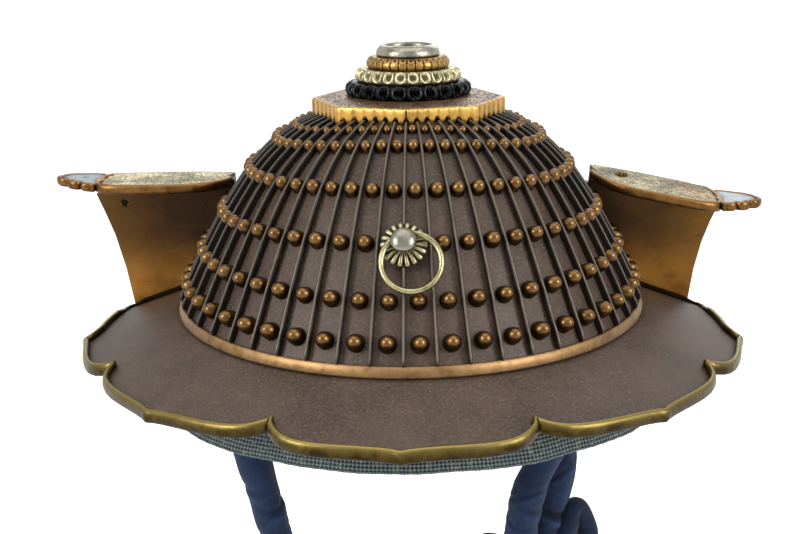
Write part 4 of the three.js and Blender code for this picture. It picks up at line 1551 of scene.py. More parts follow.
@dataclass
class Flower:
    """A ring of petals, each with a hollow that opens up and outwards.

    Attributes:
        name: the piece's name.
        node: the CAD node that it stands for.
        section: half widths and heights from the foot over the brow to the top.
        petals: how many.
        hollow: how deep each petal is scooped.
        groove: how deep the line between petals is.
        scoop: place along the section and half size of the hollow.
        slot: the record's material slot.
    """

    name: str
    node: str
    section: tuple[tuple[float, float], ...]
    petals: int
    hollow: float
    groove: float
    scoop: tuple[float, float]
    slot: str

    def build(self, finish: Finish) -> Piece:
        """Makes the ring.

        Args:
            finish: its metal.

        Returns:
            The ring.
        """
        line = curve_through([(r, 0.0, z) for r, z in self.section], 0.25)[:, [0, 2]]
        out = outward(line)
        per = 16
        count = self.petals * per
        angle = np.arange(count) * TAU / count
        u = np.abs(((np.arange(count) % per) / per) * 2.0 - 1.0)
        v = np.linspace(0, 1, len(line))
        across, grid_v = np.meshgrid(u, v)
        middle, tall = self.scoop
        oval = np.sqrt((across / 0.66) ** 2 + ((grid_v - middle) / tall) ** 2)
        dip = self.hollow * (1.0 - ease(oval, 0.35, 1.0))
        lip = 0.12 * self.hollow * np.exp(-(((oval - 1.12) / 0.14) ** 2))
        joint = self.groove * np.exp(-(((1.0 - across) / 0.13) ** 2)) * ease(grid_v, 0.0, 0.15)
        joint *= 1.0 - ease(grid_v, 0.82, 1.0)
        push = lip - dip - joint
        radial = line[:, :1] + out[:, :1] * push
        z = line[:, 1:] + out[:, 1:] * push
        (top_half, top), low = self.section[-1], self.section[0][1]
        hole = np.array([(top_half - 1.5, top - 0.1), (11.2, top - 0.1), (11.2, low)])
        radial = np.vstack([radial, np.repeat(hole[:, :1], count, 1)])
        z = np.vstack([z, np.repeat(hole[:, 1:], count, 1)])
        rows = around(radial, angle, z)
        # Painted shade in the petal scoops and the lines between petals, painted highlight on each scoop's lip.
        dark = np.clip(dip / self.hollow * 0.9 + joint / self.groove * 0.8, 0, 1)
        bright = np.clip(lip / (0.12 * self.hollow), 0, 1)
        pad = np.zeros((3, count))
        return Skin(
            rows,
            size=(180.0, 20.0),
            marks={"hollow": np.vstack([dark, pad]), "edge": np.vstack([bright, pad])},
            crease=60.0,
        ).build(self.name, finish)


@dataclass
class CrownFitting:
    """The eight sided plate, three flowers and top ring round the crown hole."""

    corners: tuple[float, ...] = (42.5, 45.4, 46.3, 45.4)
    plate_low: float = 88.6
    plate_high: float = 95.6

    def plate(self, bowl: Bowl, side: Finish, top: Finish) -> Piece:
        """Makes the plate: fluted sides with a foot between each two ribs, and a cut top.

        Args:
            bowl: the bowl that it stands on.
            side: gilding of the sides.
            top: engraved gilding of the upper face.

        Returns:
            The plate.
        """
        count = 1600
        angle = np.arange(count) * TAU / count
        side_turn = TAU / 8
        part = (angle / side_turn) % 1.0
        index = np.floor(angle / side_turn + 1e-9).astype(int)
        corner = np.array(self.corners)
        first, second = corner[index % 4], corner[(index + 1) % 4]
        turn = angle - index * side_turn
        radius = first * second * math.sin(side_turn) / (first * np.sin(turn) + second * np.sin(side_turn - turn))
        soften = 0.5 * np.exp(-((np.minimum(part, 1 - part) / 0.02) ** 2))
        radius = radius - soften
        step = TAU / RIBS
        bowl_angle = np.arctan2(np.sin(angle), np.cos(angle) / STRETCH)
        away = np.abs(((bowl_angle / step + 0.5) % 1.0) - 0.5) * step * radius
        turned = np.abs(np.cos(angle)) < math.cos(math.radians(47.0))
        flute = np.where(turned, 0.55, 0.12) * np.exp(-((away / 0.9) ** 2))
        seam = 0.5 * np.exp(-((np.abs(((angle + math.pi) % TAU) - math.pi) * radius / 0.35) ** 2))
        notch = 2.7 * np.sqrt(np.clip(1.0 - (away / 1.75) ** 2, 0.0, 1.0))
        reach = np.hypot(radius * np.sin(angle), radius * np.cos(angle) / STRETCH)
        table = np.array(bowl.profile)
        ground = np.interp(-reach, -table[:, 1], table[:, 0])
        foot = np.maximum(ground + 0.25, self.plate_low - 2.6) + notch
        # The hollow rows paint shade at the foot, in the flutes and on the hidden inner rows, and darken the seam at
        # the back; the edge rows paint a highlight that brightens towards the upper edge and round the top face's
        # border.
        levels = []
        marks = []
        rim_highlights = []
        for share, inset, dark, edge in (
            (0.0, 0.25, 0.55, 0.0), (0.06, 0.0, 0.2, 0.3), (0.3, -0.05, 0.05, 0.1), (0.6, 0.0, 0.0, 0.15),
            (0.85, -0.1, 0.0, 0.45), (0.96, 0.15, 0.0, 1.0), (1.0, 0.6, 0.05, 0.9),
        ):
            fade = 1.0 - ease(share, 0.9, 1.0)
            r = radius - inset - (flute + seam) * fade
            levels.append((r, foot + (self.plate_high - foot) * share))
            marks.append(np.clip(dark + (flute / 0.55) * 0.5 * fade + (seam / 0.5) * 0.9 * fade, 0, 1))
            rim_highlights.append(np.full(count, edge))
        for share in (0.04, 0.1, 0.3, 0.6, 0.85, 1.0):
            r = radius - 0.9 - (radius - 0.9 - 29.0) * share
            levels.append((r, np.full(count, self.plate_high + 0.05 + (97.2 - self.plate_high) * share)))
            marks.append(np.zeros(count))
            rim_highlights.append(np.full(count, 1.0 if share < 0.08 else 0.0))
        for r, z in ((20.0, 97.2), (11.2, 97.2), (11.2, 95.4)):
            levels.append((np.full(count, r), np.full(count, z)))
        levels.append((radius - 2.6, np.full(count, 93.8)))
        levels.append((radius - 1.9, foot))
        for _ in range(5):
            marks.append(np.full(count, 0.8))
            rim_highlights.append(np.zeros(count))
        rows = np.stack([around(r, angle, z) for r, z in levels])
        made = Skin(
            rows, size=(280.0, 60.0), marks={"hollow": np.array(marks), "edge": np.array(rim_highlights)}, crease=45.0
        ).build("crown_plate_metal", side, top)
        middle = np.array([p.center for p in made.data.polygons])
        upward = np.array([p.normal[2] for p in made.data.polygons])
        is_top = (middle[:, 2] > (self.plate_high - 0.2) * MM) & (upward > 0.7)
        made.data.polygons.foreach_set("material_index", is_top.astype(np.int32))
        return made

    def top_ring(self, finish: Finish) -> Piece:
        """Makes the smooth silver ring round the hole."""
        section = np.array(
            [
                (10.6, 115.3), (14.3, 115.2), (14.9, 115.6), (15.1, 116.4), (14.8, 117.6), (14.1, 118.9),
                (13.2, 119.8), (12.4, 120.3), (11.7, 120.45), (11.2, 120.2), (10.85, 119.5), (10.6, 118.4),
            ]
        )
        angle = np.linspace(0, TAU, 120, endpoint=False)
        rows = around(section[:, :1], angle, section[:, 1:])
        # Painted shade on the ring's underside and inner wall.
        dark = spread([1, 0.7, 0.3, 0, 0, 0, 0, 0, 0, 0.1, 0.3, 0.6], len(angle))
        return Skin(rows, size=(90.0, 16.0), marks={"hollow": dark}, crease=60.0).build(
            "crown_top_ring", finish
        )

    def build(
        self, bowl: Bowl, gilt: Finish, engraved: Finish, black: Finish,
        silver: Finish, warm: Finish, bright: Finish,
    ) -> None:
        """Makes the whole fitting.

        Args:
            bowl: the bowl that it stands on.
            gilt: gilding of the plate's sides.
            engraved: engraved gilding.
            black: black copper.
            silver: silvering.
            warm: gilding of the upper flower.
            bright: silvering of the top ring.
        """
        stand_for(self.plate(bowl, gilt, engraved), "gilt_copper", "crown_plate")
        flowers = (
            (
                Flower(
                    "crown_flower_of_black_copper", "crown_flower_black",
                    ((27.2, 97.35), (28.5, 97.7), (29.4, 99.0), (29.5, 100.5), (28.9, 102.0), (27.6, 103.0),
                     (25.8, 103.4)),
                    24, 2.9, 0.25, (0.54, 0.42), "black_copper",
                ),
                black,
            ),
            (
                Flower(
                    "crown_flower_of_silver", "crown_flower_silver",
                    ((22.8, 103.45), (23.9, 103.7), (24.8, 105.0), (24.8, 106.8), (24.0, 108.4), (22.9, 109.3),
                     (21.3, 109.7)),
                    26, 1.7, 0.6, (0.6, 0.3), "silvered_copper",
                ),
                silver,
            ),
            (
                Flower(
                    "crown_flower_of_gold", "crown_flower_gold",
                    ((17.8, 109.8), (18.9, 110.1), (19.6, 111.3), (19.6, 112.6), (18.9, 113.9), (17.7, 114.9),
                     (16.2, 115.15)),
                    30, 0.35, 0.75, (0.8, 0.2), "gilt_copper",
                ),
                warm,
            ),
        )
        for flower, finish in flowers:
            stand_for(flower.build(finish), flower.slot, flower.node)
        stand_for(self.top_ring(bright), "silvered_copper", "crown_ring")


# Rear fitting


@dataclass
class RearFitting:
    """Fluted washer, domed boss and the ring that hangs on its neck."""

    height: float = 44.9
    ring_radius: float = 12.5
    wire: float = 1.25
    stand: float = 7.6
    lean: float = 30.0
    aside: float = 20.0
    hang: float = 3.15
    petals: int = 18
    wall_slope: float = 0.67
    wall_line: tuple[tuple[float, float], ...] = ((42.0, 88.4), (62.0, 75.0))

    def seat(self) -> tuple[np.ndarray, np.ndarray, np.ndarray]:
        """Where the fitting stands and which ways are out and up.

        Returns:
            The seat, the outward direction and the upward one.
        """
        (low, wide), (high, narrow) = self.wall_line
        half = wide + (self.height - low) / (high - low) * (narrow - wide)
        slope = self.wall_slope * STRETCH
        out = np.array([0.0, -1.0, slope]) / math.hypot(1.0, slope)
        up = np.array([0.0, slope, 1.0]) / math.hypot(1.0, slope)
        return np.array([0.0, -half * STRETCH, self.height]), out, up

    def turned(self, rows: np.ndarray) -> np.ndarray:
        """Moves points that were laid round the Z axis onto the fitting's own axis.

        Args:
            rows: the points.

        Returns:
            The moved points.
        """
        seat, out, up = self.seat()
        side = np.array([1.0, 0.0, 0.0])
        return seat + rows[..., :1] * side + rows[..., 1:2] * up + rows[..., 2:] * out

    def washer(self, finish: Finish) -> Piece:
        """Makes the fluted washer."""
        count = self.petals * 12
        angle = np.arange(count) * TAU / count
        ripple = 1.0 - (0.5 - 0.5 * np.cos(self.petals * angle)) ** 2.6
        # Painted shade in the grooves between the flutes and painted highlights on the flutes' crests.
        rows, dark, bright = [], [], []
        for radius, z, depth, edge in (
            (2.7, 3.7, 0.0, 0.0), (8.4, 3.75, 0.0, 0.0), (9.4, 3.9, 0.5, 0.2), (9.9, 4.5, 0.8, 0.7), (9.5, 5.2, 1.0, 1.0),
            (8.4, 5.5, 1.0, 0.9), (7.0, 5.85, 1.0, 0.7), (5.6, 5.95, 0.8, 0.5), (4.4, 5.8, 0.4, 0.3), (2.7, 5.7, 0.0, 0.0),
        ):
            r = radius - (1.0 - ripple) * 0.7 * min(1.0, depth * 1.4)
            rise = z - (1.0 - ripple) * 1.0 * depth
            rows.append(upright(r, angle, rise))
            dark.append((1.0 - ripple) ** 1.5 * depth)
            bright.append(ripple**2 * edge)
        return Skin(
            self.turned(np.array(rows)), size=(60.0, 16.0),
            marks={"hollow": np.array(dark), "edge": np.array(bright)}, crease=60.0,
        ).build("rear_washer_fluted", finish)

    def boss(self, finish: Finish) -> Piece:
        """Makes the domed boss on its neck."""
        section = np.array(
            [
                (1.6, 5.9), (1.6, 9.0), (4.2, 9.1), (5.0, 9.2), (5.4, 9.45), (5.5, 9.8), (5.3, 10.5),
                (4.7, 11.2), (3.8, 11.8), (2.6, 12.25), (1.3, 12.5), (0.3, 12.55),
            ]
        )
        angle = np.linspace(0, TAU, 48, endpoint=False)
        rows = upright(section[:, :1], angle, section[:, 1:])
        # Painted shade on the neck and under the dome's brim.
        dark = spread([1, 1, 0.9, 0.6, 0.4, 0.15, 0, 0, 0, 0, 0, 0], len(angle))
        rows = self.turned(rows)
        skin = Skin(rows, ends=Ends.FAN, size=(30.0, 10.0), marks={"hollow": dark}, crease=60.0)
        return skin.build("rear_boss_domed", finish)

    def ring(self, finish: Finish) -> Piece:
        """Makes the hanging ring."""
        seat, out, _ = self.seat()
        pivot = seat + out * self.stand
        lean, aside = math.radians(self.lean), math.radians(self.aside)
        slope = np.array([0.0, math.sin(lean), math.cos(lean)])
        across = np.array([1.0, 0.0, 0.0])
        centre = pivot + (across * math.sin(aside) - slope * math.cos(aside)) * (self.ring_radius - self.hang)
        facing = np.cross(across, slope)
        turn = np.linspace(0, TAU, 120, endpoint=False)
        wire = np.linspace(0, TAU, 16, endpoint=False)
        spoke = np.cos(turn)[:, None] * across + np.sin(turn)[:, None] * slope
        thick = self.wire * (1.0 + 0.03 * np.sin(3 * turn) + 0.02 * np.sin(7 * turn + 1.0))
        rows = (
            centre
            + spoke[:, None, :] * (self.ring_radius + np.cos(wire)[None, :] * thick[:, None])[..., None]
            + facing * (np.sin(wire)[None, :] * thick[:, None])[..., None]
        )
        return Skin(rows, size=(8.0, 78.0), crease=60.0).build("rear_ring_wire", finish)

    def build(
        self, brass: Finish, silver: Finish, pale: Finish
    ) -> None:
        """Makes the whole fitting.

        Args:
            brass: old brass of the washer.
            silver: silvering of the boss.
            pale: pale brass of the ring.
        """
        stand_for(self.washer(brass), "dull_gilt", "rear_washer")
        stand_for(self.boss(silver), "silvered_copper", "rear_boss")
        stand_for(self.ring(pale), "dull_gilt", "rear_ring", body=RING_BODY)


# Neck guard


@dataclass
class NeckGuard:
    """The sloping plate behind and beside the bowl, with its lobed and beaded edge."""

    top: float = -3.4
    slope: float = 0.4
    inner: float = 111.6
    wall: float = 1.8
    end: float = 104.5
    lobes: tuple[tuple[float, float, float], ...] = (
        (0.0, 162.6, 20.2), (42.4, 159.0, 64.2), (85.2, 160.2, 106.5),
    )
    edge: tuple[tuple[float, float], ...] = (
        (0.0, 0.0), (0.05, 0.85), (0.14, 1.6), (0.27, 2.1), (0.4, 2.3), (0.55, 2.45), (0.68, 2.9), (0.78, 3.8),
        (0.86, 5.3), (0.93, 7.6), (0.97, 9.4), (1.0, 11.0),
    )
    last_fall: float = 5.6

    def foot(self, angle: Any, half: float) -> Any:
        """Radius of the bowl's oval foot, seen from above."""
        return half / np.hypot(np.sin(angle), np.cos(angle) / STRETCH)

    def height(self, angle: Any, radius: Any) -> Any:
        """Height of the plate's upper face."""
        return self.top - self.slope * (radius - self.foot(angle, self.inner))

    def outline(self) -> np.ndarray:
        """The lobed edge from one front end round the back to the other.

        Returns:
            Array of angle in radians and radius, evenly spaced.
        """
        table = np.array(self.edge)
        fine = np.linspace(0, 1, 60)
        fall = np.interp(fine, table[:, 0], table[:, 1])
        half: list[tuple[float, float]] = []
        for index, (point, reach, notch) in enumerate(self.lobes):
            if index:
                before = self.lobes[index - 1][2]
                half += [
                    (point - (point - before) * t, reach - f) for t, f in zip(fine[::-1][1:], fall[::-1][1:])
                ]
            else:
                half.append((point, reach))
            last = index == len(self.lobes) - 1
            for t, f in zip(fine[1:], fall[1:]):
                angle = point + (notch - point) * t
                if last and angle > self.end:
                    break
                half.append((angle, reach - (min(f * 3, self.last_fall) if last else f)))
        both = [(-a, r) for a, r in half[1:]][::-1] + half
        return np.array([(math.radians(a), r) for a, r in both])

    def plate(self, finish: Finish) -> Piece:
        """Makes the plate."""
        edge = self.outline()
        angle, reach = edge[:, 0], edge[:, 1] - 1.4
        foot = self.foot(angle, self.inner)
        shares = np.linspace(0, 1, 16)
        tuck = self.foot(angle, self.inner - 2.4)
        level = np.full_like(angle, self.top - 0.1)
        radii = [foot + (reach - foot) * share for share in shares]
        upper = [around(tuck, angle, level)] + [around(r, angle, self.height(angle, r)) for r in radii]
        under = [row - (0.0, 0.0, self.wall) for row in upper[::-1]]
        section = np.swapaxes(np.array(upper + under), 0, 1)
        return Skin(section, ends=Ends.STRIP, size=(90.0, 480.0), crease=50.0).build("neck_guard_plate", finish)

    def rim(self, finish: Finish) -> Piece:
        """Makes the rounded bead along the edge."""
        edge = self.outline()
        close = float(self.foot(edge[-1, 0], self.inner)) + 1.5
        inward = [(edge[-1, 0] + 0.011, r) for r in np.linspace(edge[-1, 1], close, 40)[1:]]
        edge = np.array([(-a, r) for a, r in inward[::-1]] + edge.tolist() + inward)
        angle, reach = edge[:, 0], edge[:, 1]
        path = around(reach, angle, self.height(angle, reach) + 0.2)
        along = np.gradient(path, axis=0)
        along = (along + np.roll(along, 1, 0) + np.roll(along, -1, 0)) / 3.0
        out = np.stack([along[:, 1], -along[:, 0], np.zeros(len(path))], -1)
        out /= np.linalg.norm(out, axis=1, keepdims=True)
        place = np.minimum(np.arange(len(path)), np.arange(len(path))[::-1])
        tall = np.interp(place, (0.0, 30.0, 36.0, 44.0, 52.0), (0.95, 0.95, 0.5, 0.6, 1.25))
        turned = 1.0 - ease(place, 38.0, 50.0)
        section = np.array(
            [
                (-1.45, -1.6, 0.9, 0.0), (-1.5, 0.6, 0.7, 0.0), (-1.35, 1.7, 0.3, 0.2), (-0.9, 2.3, 0.0, 0.8),
                (-0.2, 2.55, 0.0, 1.0), (0.6, 2.35, 0.0, 0.9), (1.2, 1.75, 0.0, 0.5), (1.5, 0.9, 0.0, 0.2),
                (1.6, 0.0, 0.1, 0.0), (1.5, -1.0, 0.35, 0.0), (1.1, -1.9, 0.6, 0.0), (0.4, -2.3, 0.8, 0.0),
                (-0.6, -2.2, 0.9, 0.0),
            ]
        )
        rows = (
            path[:, None, :]
            + out[:, None, :] * section[None, :, :1]
            + np.array([0.0, 0.0, 1.0]) * section[None, :, 1:2] * tall[:, None, None]
        )
        # Painted shade on the bead's underside and over the whole in-turned end, painted highlight along its top
        # except on that end.
        dark = np.clip(section[None, :, 2] + turned[:, None], 0.0, 1.0)
        bright = section[None, :, 3] * (1.0 - turned[:, None])
        return Skin(
            rows, ends=Ends.FAN, size=(14.0, 520.0), marks={"hollow": dark, "edge": bright}, crease=50.0
        ).build("neck_guard_bead", finish)

    def build(self, lacquer: Finish, gilt: Finish) -> None:
        """Makes the plate and its bead.

        Args:
            lacquer: lacquer of the plate.
            gilt: gilding of the bead.
        """
        stand_for(self.plate(lacquer), "russet_iron", "neck_guard")
        stand_for(self.rim(gilt), "dull_gilt", "neck_guard_rim")


@dataclass
class Peak:
    """The plain peak over the brow, with its bead."""

    half: float = 58.0
    reach: float = 34.0
    slope: float = 0.46
    wall: float = 1.8
    top: float = -1.4
    tuck: float = 3.4

    def edge(self, guard: NeckGuard, turn: np.ndarray) -> tuple[np.ndarray, np.ndarray, np.ndarray]:
        """Angle, foot and reach of the peak along its width."""
        angle = math.pi + np.radians(self.half * turn)
        foot = guard.foot(angle, guard.inner + 1.4)
        return angle, foot, 7.0 + self.reach * np.clip(np.cos(turn * math.pi / 2), 0, 1) ** 0.8

    def build(self, guard: NeckGuard, lacquer: Finish, gilt: Finish) -> None:
        """Makes the peak and its bead.

        Args:
            guard: the neck guard, whose foot line the peak continues.
            lacquer: lacquer of the peak.
            gilt: gilding of the bead.
        """
        turn = np.linspace(-1, 1, 121)
        angle, foot, reach = self.edge(guard, turn)
        rows = []
        shares = np.linspace(0, 1, 12)
        for share, drop in [(s, 0.0) for s in shares] + [(s, self.wall) for s in shares[::-1]]:
            radius = foot + reach * share - (self.tuck if share == 0 else 0.0)
            z = self.top - self.slope * reach * share - drop
            rows.append(around(radius, angle, z))
        section = np.swapaxes(np.array(rows), 0, 1)
        plate = Skin(section, ends=Ends.STRIP, size=(80.0, 260.0), crease=50.0).build("brow_peak_plate", lacquer)
        stand_for(plate, "russet_iron", "peak")
        radius = foot + reach
        out = np.stack([np.sin(angle), -np.cos(angle), np.zeros_like(angle)], -1)
        path = out * (radius + 1.65)[:, None]
        path[:, 2] = self.top - self.slope * reach
        spin = np.linspace(0, TAU, 14, endpoint=False)
        bead = (
            path[:, None, :]
            + out[:, None, :] * (np.cos(spin) * 1.3)[None, :, None]
            + np.array([0, 0, 1.0]) * (np.sin(spin) * 1.8)[None, :, None]
        )
        # Painted highlight along the bead's top half.
        bright = np.repeat(np.clip(np.sin(spin), 0, 1)[None, :], len(path), 0)
        rim = Skin(bead, ends=Ends.FAN, size=(10.0, 280.0), marks={"edge": bright}).build("brow_peak_bead", gilt)
        stand_for(rim, "dull_gilt", "peak_rim")


@dataclass
class Collar:
    """The cloth collar under the neck guard, with a piped lower hem."""

    top: float = -8.2
    low: float = -38.2
    half_top: float = 112.6
    half_low: float = 129.6
    long_low: float = 135.2
    wall: float = 2.5
    end: float = 99.0
    cut: tuple[float, float] = (432.0, 36.0)

    def line(self, share: float, inset: float) -> np.ndarray:
        """One row of the cloth at a share of the way down."""
        angle = np.radians(np.linspace(-self.end, self.end, 241))
        swell = 1.0 * math.sin(share * math.pi)
        half = self.half_top + (self.half_low - self.half_top) * share + swell - inset
        long_top = self.half_top * STRETCH
        long = long_top + (self.long_low - long_top) * share + swell - inset
        wave = 0.35 * share * np.sin(angle * 17.0 + 0.6) + 0.25 * share * np.sin(angle * 31.0)
        z = self.top + (self.low - self.top) * share + 0.3 * np.sin(angle * 13.0) * share
        return np.stack([(half + wave) * np.sin(angle), -(long + wave) * np.cos(angle), z], -1)

    def build(self, weave: Finish, piping: Finish) -> None:
        """Makes the collar and its hem.

        Args:
            weave: the coarse cloth.
            piping: the cloth of the hem.
        """
        shares = np.linspace(0, 1, 16)
        outer = [self.line(s, 0.0) for s in shares]
        inner = [self.line(s, self.wall) for s in shares[::-1]]
        section = np.swapaxes(np.array(outer + inner), 0, 1)
        cloth = Skin(section, ends=Ends.STRIP, size=(70.0, 450.0), crease=60.0).build("collar_cloth_band", weave)
        path = self.line(1.0, self.wall / 2)
        spin = np.linspace(0, TAU, 12, endpoint=False)
        out = path * np.array([1.0, 1.0, 0.0])
        out /= np.linalg.norm(out, axis=1, keepdims=True)
        pulse = 1.0 + 0.08 * np.sin(np.arange(len(path)) * 1.9)
        hem = (
            path[:, None, :]
            + out[:, None, :] * (np.cos(spin)[None, :] * 1.4 * pulse[:, None])[..., None]
            + np.array([0, 0, 1.0]) * (np.sin(spin)[None, :] * 0.9 * pulse[:, None])[..., None]
        )
        piped = Skin(hem, ends=Ends.FAN, size=(11.0, 440.0), crease=70.0).build("collar_piped_hem", piping)
        stand_for(cloth, "collar_cloth", "collar")
        stand_for(piped, "collar_cloth")


# Ear flaps


@dataclass
class EarFlap:
    """A flap that stands on the neck guard's front end and turns back at the top.

    Attributes:
        name: left or right.
        side: minus one on the left, one on the right.
        lip: height of the lip's bead at its inner end.
        fall: how much the lip drops for each unit outwards.
        lean: how much it rises for each unit forwards.
        inset: how much shorter its lip is than the full one.
        ear_lip: height of the ear.
        ear_rise: how much the ear rises outwards.
        foot: height of the flap's foot.
        reach: outer edge of the standing part, from the foot up.
        lip_shade_strength: how strong the painted shade on the back is under the lip.
    """

    name: str
    side: int
    lip: float
    fall: float
    lean: float
    inset: float
    ear_lip: float
    ear_rise: float
    foot: float
    reach: tuple[float, ...]
    lip_shade_strength: float = 0.9
    wall: float = 1.8
    facing: float = 1.2
    gap: float = 0.35
    depth: float = 1.7
    swell: float = 0.6
    bend: float = 9.0
    front: float = 39.5
    lip_far: float = 31.0
    lip_out: float = 151.5
    levels: tuple[float, ...] = (0.0, 0.35, 0.65, 0.85, 1.0)
    near_edge: tuple[tuple[float, float], ...] = (
        (90.4, 27.0), (91.8, 19.0), (94.6, 11.5), (99.5, 5.5), (107.0, 1.6), (118.0, 0.0), (140.0, 0.0),
        (147.5, 1.6), (151.5, 6.5),
    )
    ear: tuple[tuple[float, float], ...] = (
        (153.6, 3.6), (155.4, 1.8), (158.4, 2.0), (160.2, 4.6), (162.6, 3.4), (165.6, 4.6), (167.4, 7.6),
        (170.4, 8.0), (173.0, 11.6), (173.6, 17.0), (171.0, 23.0), (165.0, 27.4), (153.6, 29.4),
    )

    def lip_height(self, across: Any, y: Any) -> Any:
        """Height of the lip's underside."""
        return self.lip - self.depth - self.fall * (across - self.near_edge[0][0]) + self.lean * y

    def ear_height(self, across: Any, y: Any) -> Any:
        """Height of the ear's upper face."""
        return self.ear_lip + self.ear_rise * (across - self.lip_out) + self.lean * 0.5 * y

    def squeeze(self, across: Any) -> Any:
        """Place along the lip, allowing for a shorter one."""
        first = self.near_edge[0][0]
        return first + (across - first) * (self.lip_out - self.inset - first) / (self.lip_out - first)

    def inner_edge(self, bowl: Bowl, z: Any) -> Any:
        """Where the flap's inner edge clears the bowl."""
        half = bowl.half(np.maximum(z, -2.5))
        return half * np.sqrt(1.0 - (self.front / (half * STRETCH)) ** 2) + 6.4

    def grid(self, bowl: Bowl, guard: NeckGuard) -> np.ndarray:
        """The flap's back face: up the standing part, round the bend and out along the lip.

        Args:
            bowl: the bowl that the flap clears.
            guard: the neck guard that it stands on.

        Returns:
            Rows x columns x 3 points.
        """
        edge = curve_through([(a, y, 0.0) for a, y in self.near_edge], 1.0)
        gone = distances(edge)
        count = 61
        want = np.linspace(0, gone[-1], count)
        edge_x = np.interp(want, gone, edge[:, 0])
        edge_y = np.interp(want, gone, edge[:, 1])
        first = self.near_edge[0][0]
        lane = (edge_x - first) / (self.lip_out - first)
        rows = []
        for up in np.linspace(0, 1, 30):
            out = float(np.interp(up, self.levels, self.reach))
            guess = self.foot + up * (float(self.lip_height(100.0, self.front)) - self.bend - self.foot)
            inner = float(self.inner_edge(bowl, guess))
            across = inner + (out - inner) * lane
            angle = math.pi - np.arctan2(across, self.front)
            base = guard.height(angle, np.hypot(across, self.front)) + 1.2
            top = self.lip_height(np.minimum(across, self.lip_out), self.front) - self.bend
            rows.append(np.stack([across, np.full(count, self.front), base + up * (top - base)], -1))
        lip_out = float(self.squeeze(self.lip_out))
        last = self.reach[-1]
        for turn in np.radians(np.linspace(8, 90, 12)):
            y = self.front - (self.front - self.lip_far) * (1 - math.cos(turn))
            out = last - (last - lip_out) * math.sin(turn) ** 0.8
            across = first + (out - first) * lane
            z = self.lip_height(np.minimum(across, self.lip_out), y) - self.bend * (1 - math.sin(turn))
            z = z + self.swell * math.sin(turn) ** 3 * np.sin(np.pi * np.clip(lane * 1.15, 0, 1)) ** 0.5
            rows.append(np.stack([across, np.full(count, y), z], -1))
        start = rows[-1]
        goal_x = self.squeeze(edge_x)
        for share in np.linspace(0, 1, 16)[1:]:
            across = start[:, 0] + (goal_x - start[:, 0]) * share
            y = start[:, 1] + (edge_y - start[:, 1]) * share
            arch = self.swell * (1 - share) ** 1.3 * np.sin(np.pi * np.clip(lane * 1.15, 0, 1)) ** 0.5
            rows.append(np.stack([across, y, self.lip_height(across, y) + arch], -1))
        grid = np.array(rows)
        grid[..., 0] *= self.side
        return grid

    def normals(self, grid: np.ndarray) -> np.ndarray:
        """Directions out of the flap's back face."""
        up = np.gradient(grid, axis=0)
        along = np.gradient(grid, axis=1)
        out = np.cross(up, along) * self.side
        return out / np.maximum(np.linalg.norm(out, axis=2, keepdims=True), 1e-9)

    def sheet(
        self, name: str, grid: np.ndarray, low: float, high: float, finish: Finish, marks: dict[str, np.ndarray]
    ) -> Piece:
        """Makes a thin sheet that follows the flap's back face.

        Args:
            name: the piece's name.
            grid: the flap's back face.
            low: distance of the sheet's nearer face from it.
            high: distance of its farther face.
            finish: its material.
            marks: numbers for the points of the grid, by name.

        Returns:
            The sheet.
        """
        out = self.normals(grid)
        section = np.concatenate([grid + out * low, (grid + out * high)[:, ::-1]], 1)
        both = {key: np.concatenate([value, value[:, ::-1]], 1) for key, value in marks.items()}
        return Skin(section, ends=Ends.STRIP, size=(150.0, 110.0), marks=both, crease=50.0).build(name, finish)

    def bead(
        self, name: str, path: np.ndarray, width: float, height: Any, closed: bool, finish: Finish
    ) -> Piece:
        """Makes a rounded bead that stands upright along a path.

        Args:
            name: the piece's name.
            path: its middle line.
            width: its width.
            height: its height, one number or one for each point.
            closed: the path comes back to its start.
            finish: its metal.

        Returns:
            The bead.
        """
        if closed:
            along = np.roll(path, -1, 0) - np.roll(path, 1, 0)
        else:
            along = np.gradient(path, axis=0)
        across = np.cross(along, (0, 0, 1.0))
        across /= np.linalg.norm(across, axis=1, keepdims=True)
        spin = np.linspace(0, TAU, 16, endpoint=False)
        rows = (
            path[:, None, :]
            + across[:, None, :] * (np.cos(spin) * width / 2)[None, :, None]
            + np.array([0, 0, 1.0])
            * (np.sign(np.sin(spin)) * np.abs(np.sin(spin)) ** 0.8)[None, :, None]
            * (np.broadcast_to(height, len(path)) / 2)[:, None, None]
        )
        # Painted highlight along the bead's top, painted shade along its underside.
        bright = np.repeat(np.clip(np.sin(spin), 0, 1)[None, :] ** 1.5, len(path), 0)
        dark = np.repeat(np.clip(-np.sin(spin) - 0.2, 0, 1)[None, :], len(path), 0)
        ends = Ends.OPEN if closed else Ends.FAN
        return Skin(rows, ends=ends, size=(11.0, 100.0), marks={"edge": bright, "hollow": dark}).build(name, finish)

    def rim(self, finish: Finish) -> Piece:
        """Makes the bead along the lip's edge."""
        table = [*self.near_edge[1:-1], (150.2, 3.8), (152.2, 8.0), (152.9, 14.0), (152.0, 20.5), (149.0, 26.5)]
        flat = [(float(self.squeeze(a)), y) for a, y in table]
        path = curve_through([(a, y, 0.0) for a, y in flat], 1.0)
        along = np.gradient(path, axis=0)
        along /= np.linalg.norm(along, axis=1, keepdims=True)
        away = np.stack([along[:, 1], -along[:, 0], np.zeros(len(path))], 1)
        away *= np.sign(-away[len(path) // 2, 1])
        path = path + away * 2.0
        path[:, 2] = self.lip_height(path[:, 0], path[:, 1]) + self.depth
        path[:, 0] *= self.side
        return self.bead(f"{self.name}_flap_bead", path, 3.0, 5.0, False, finish)

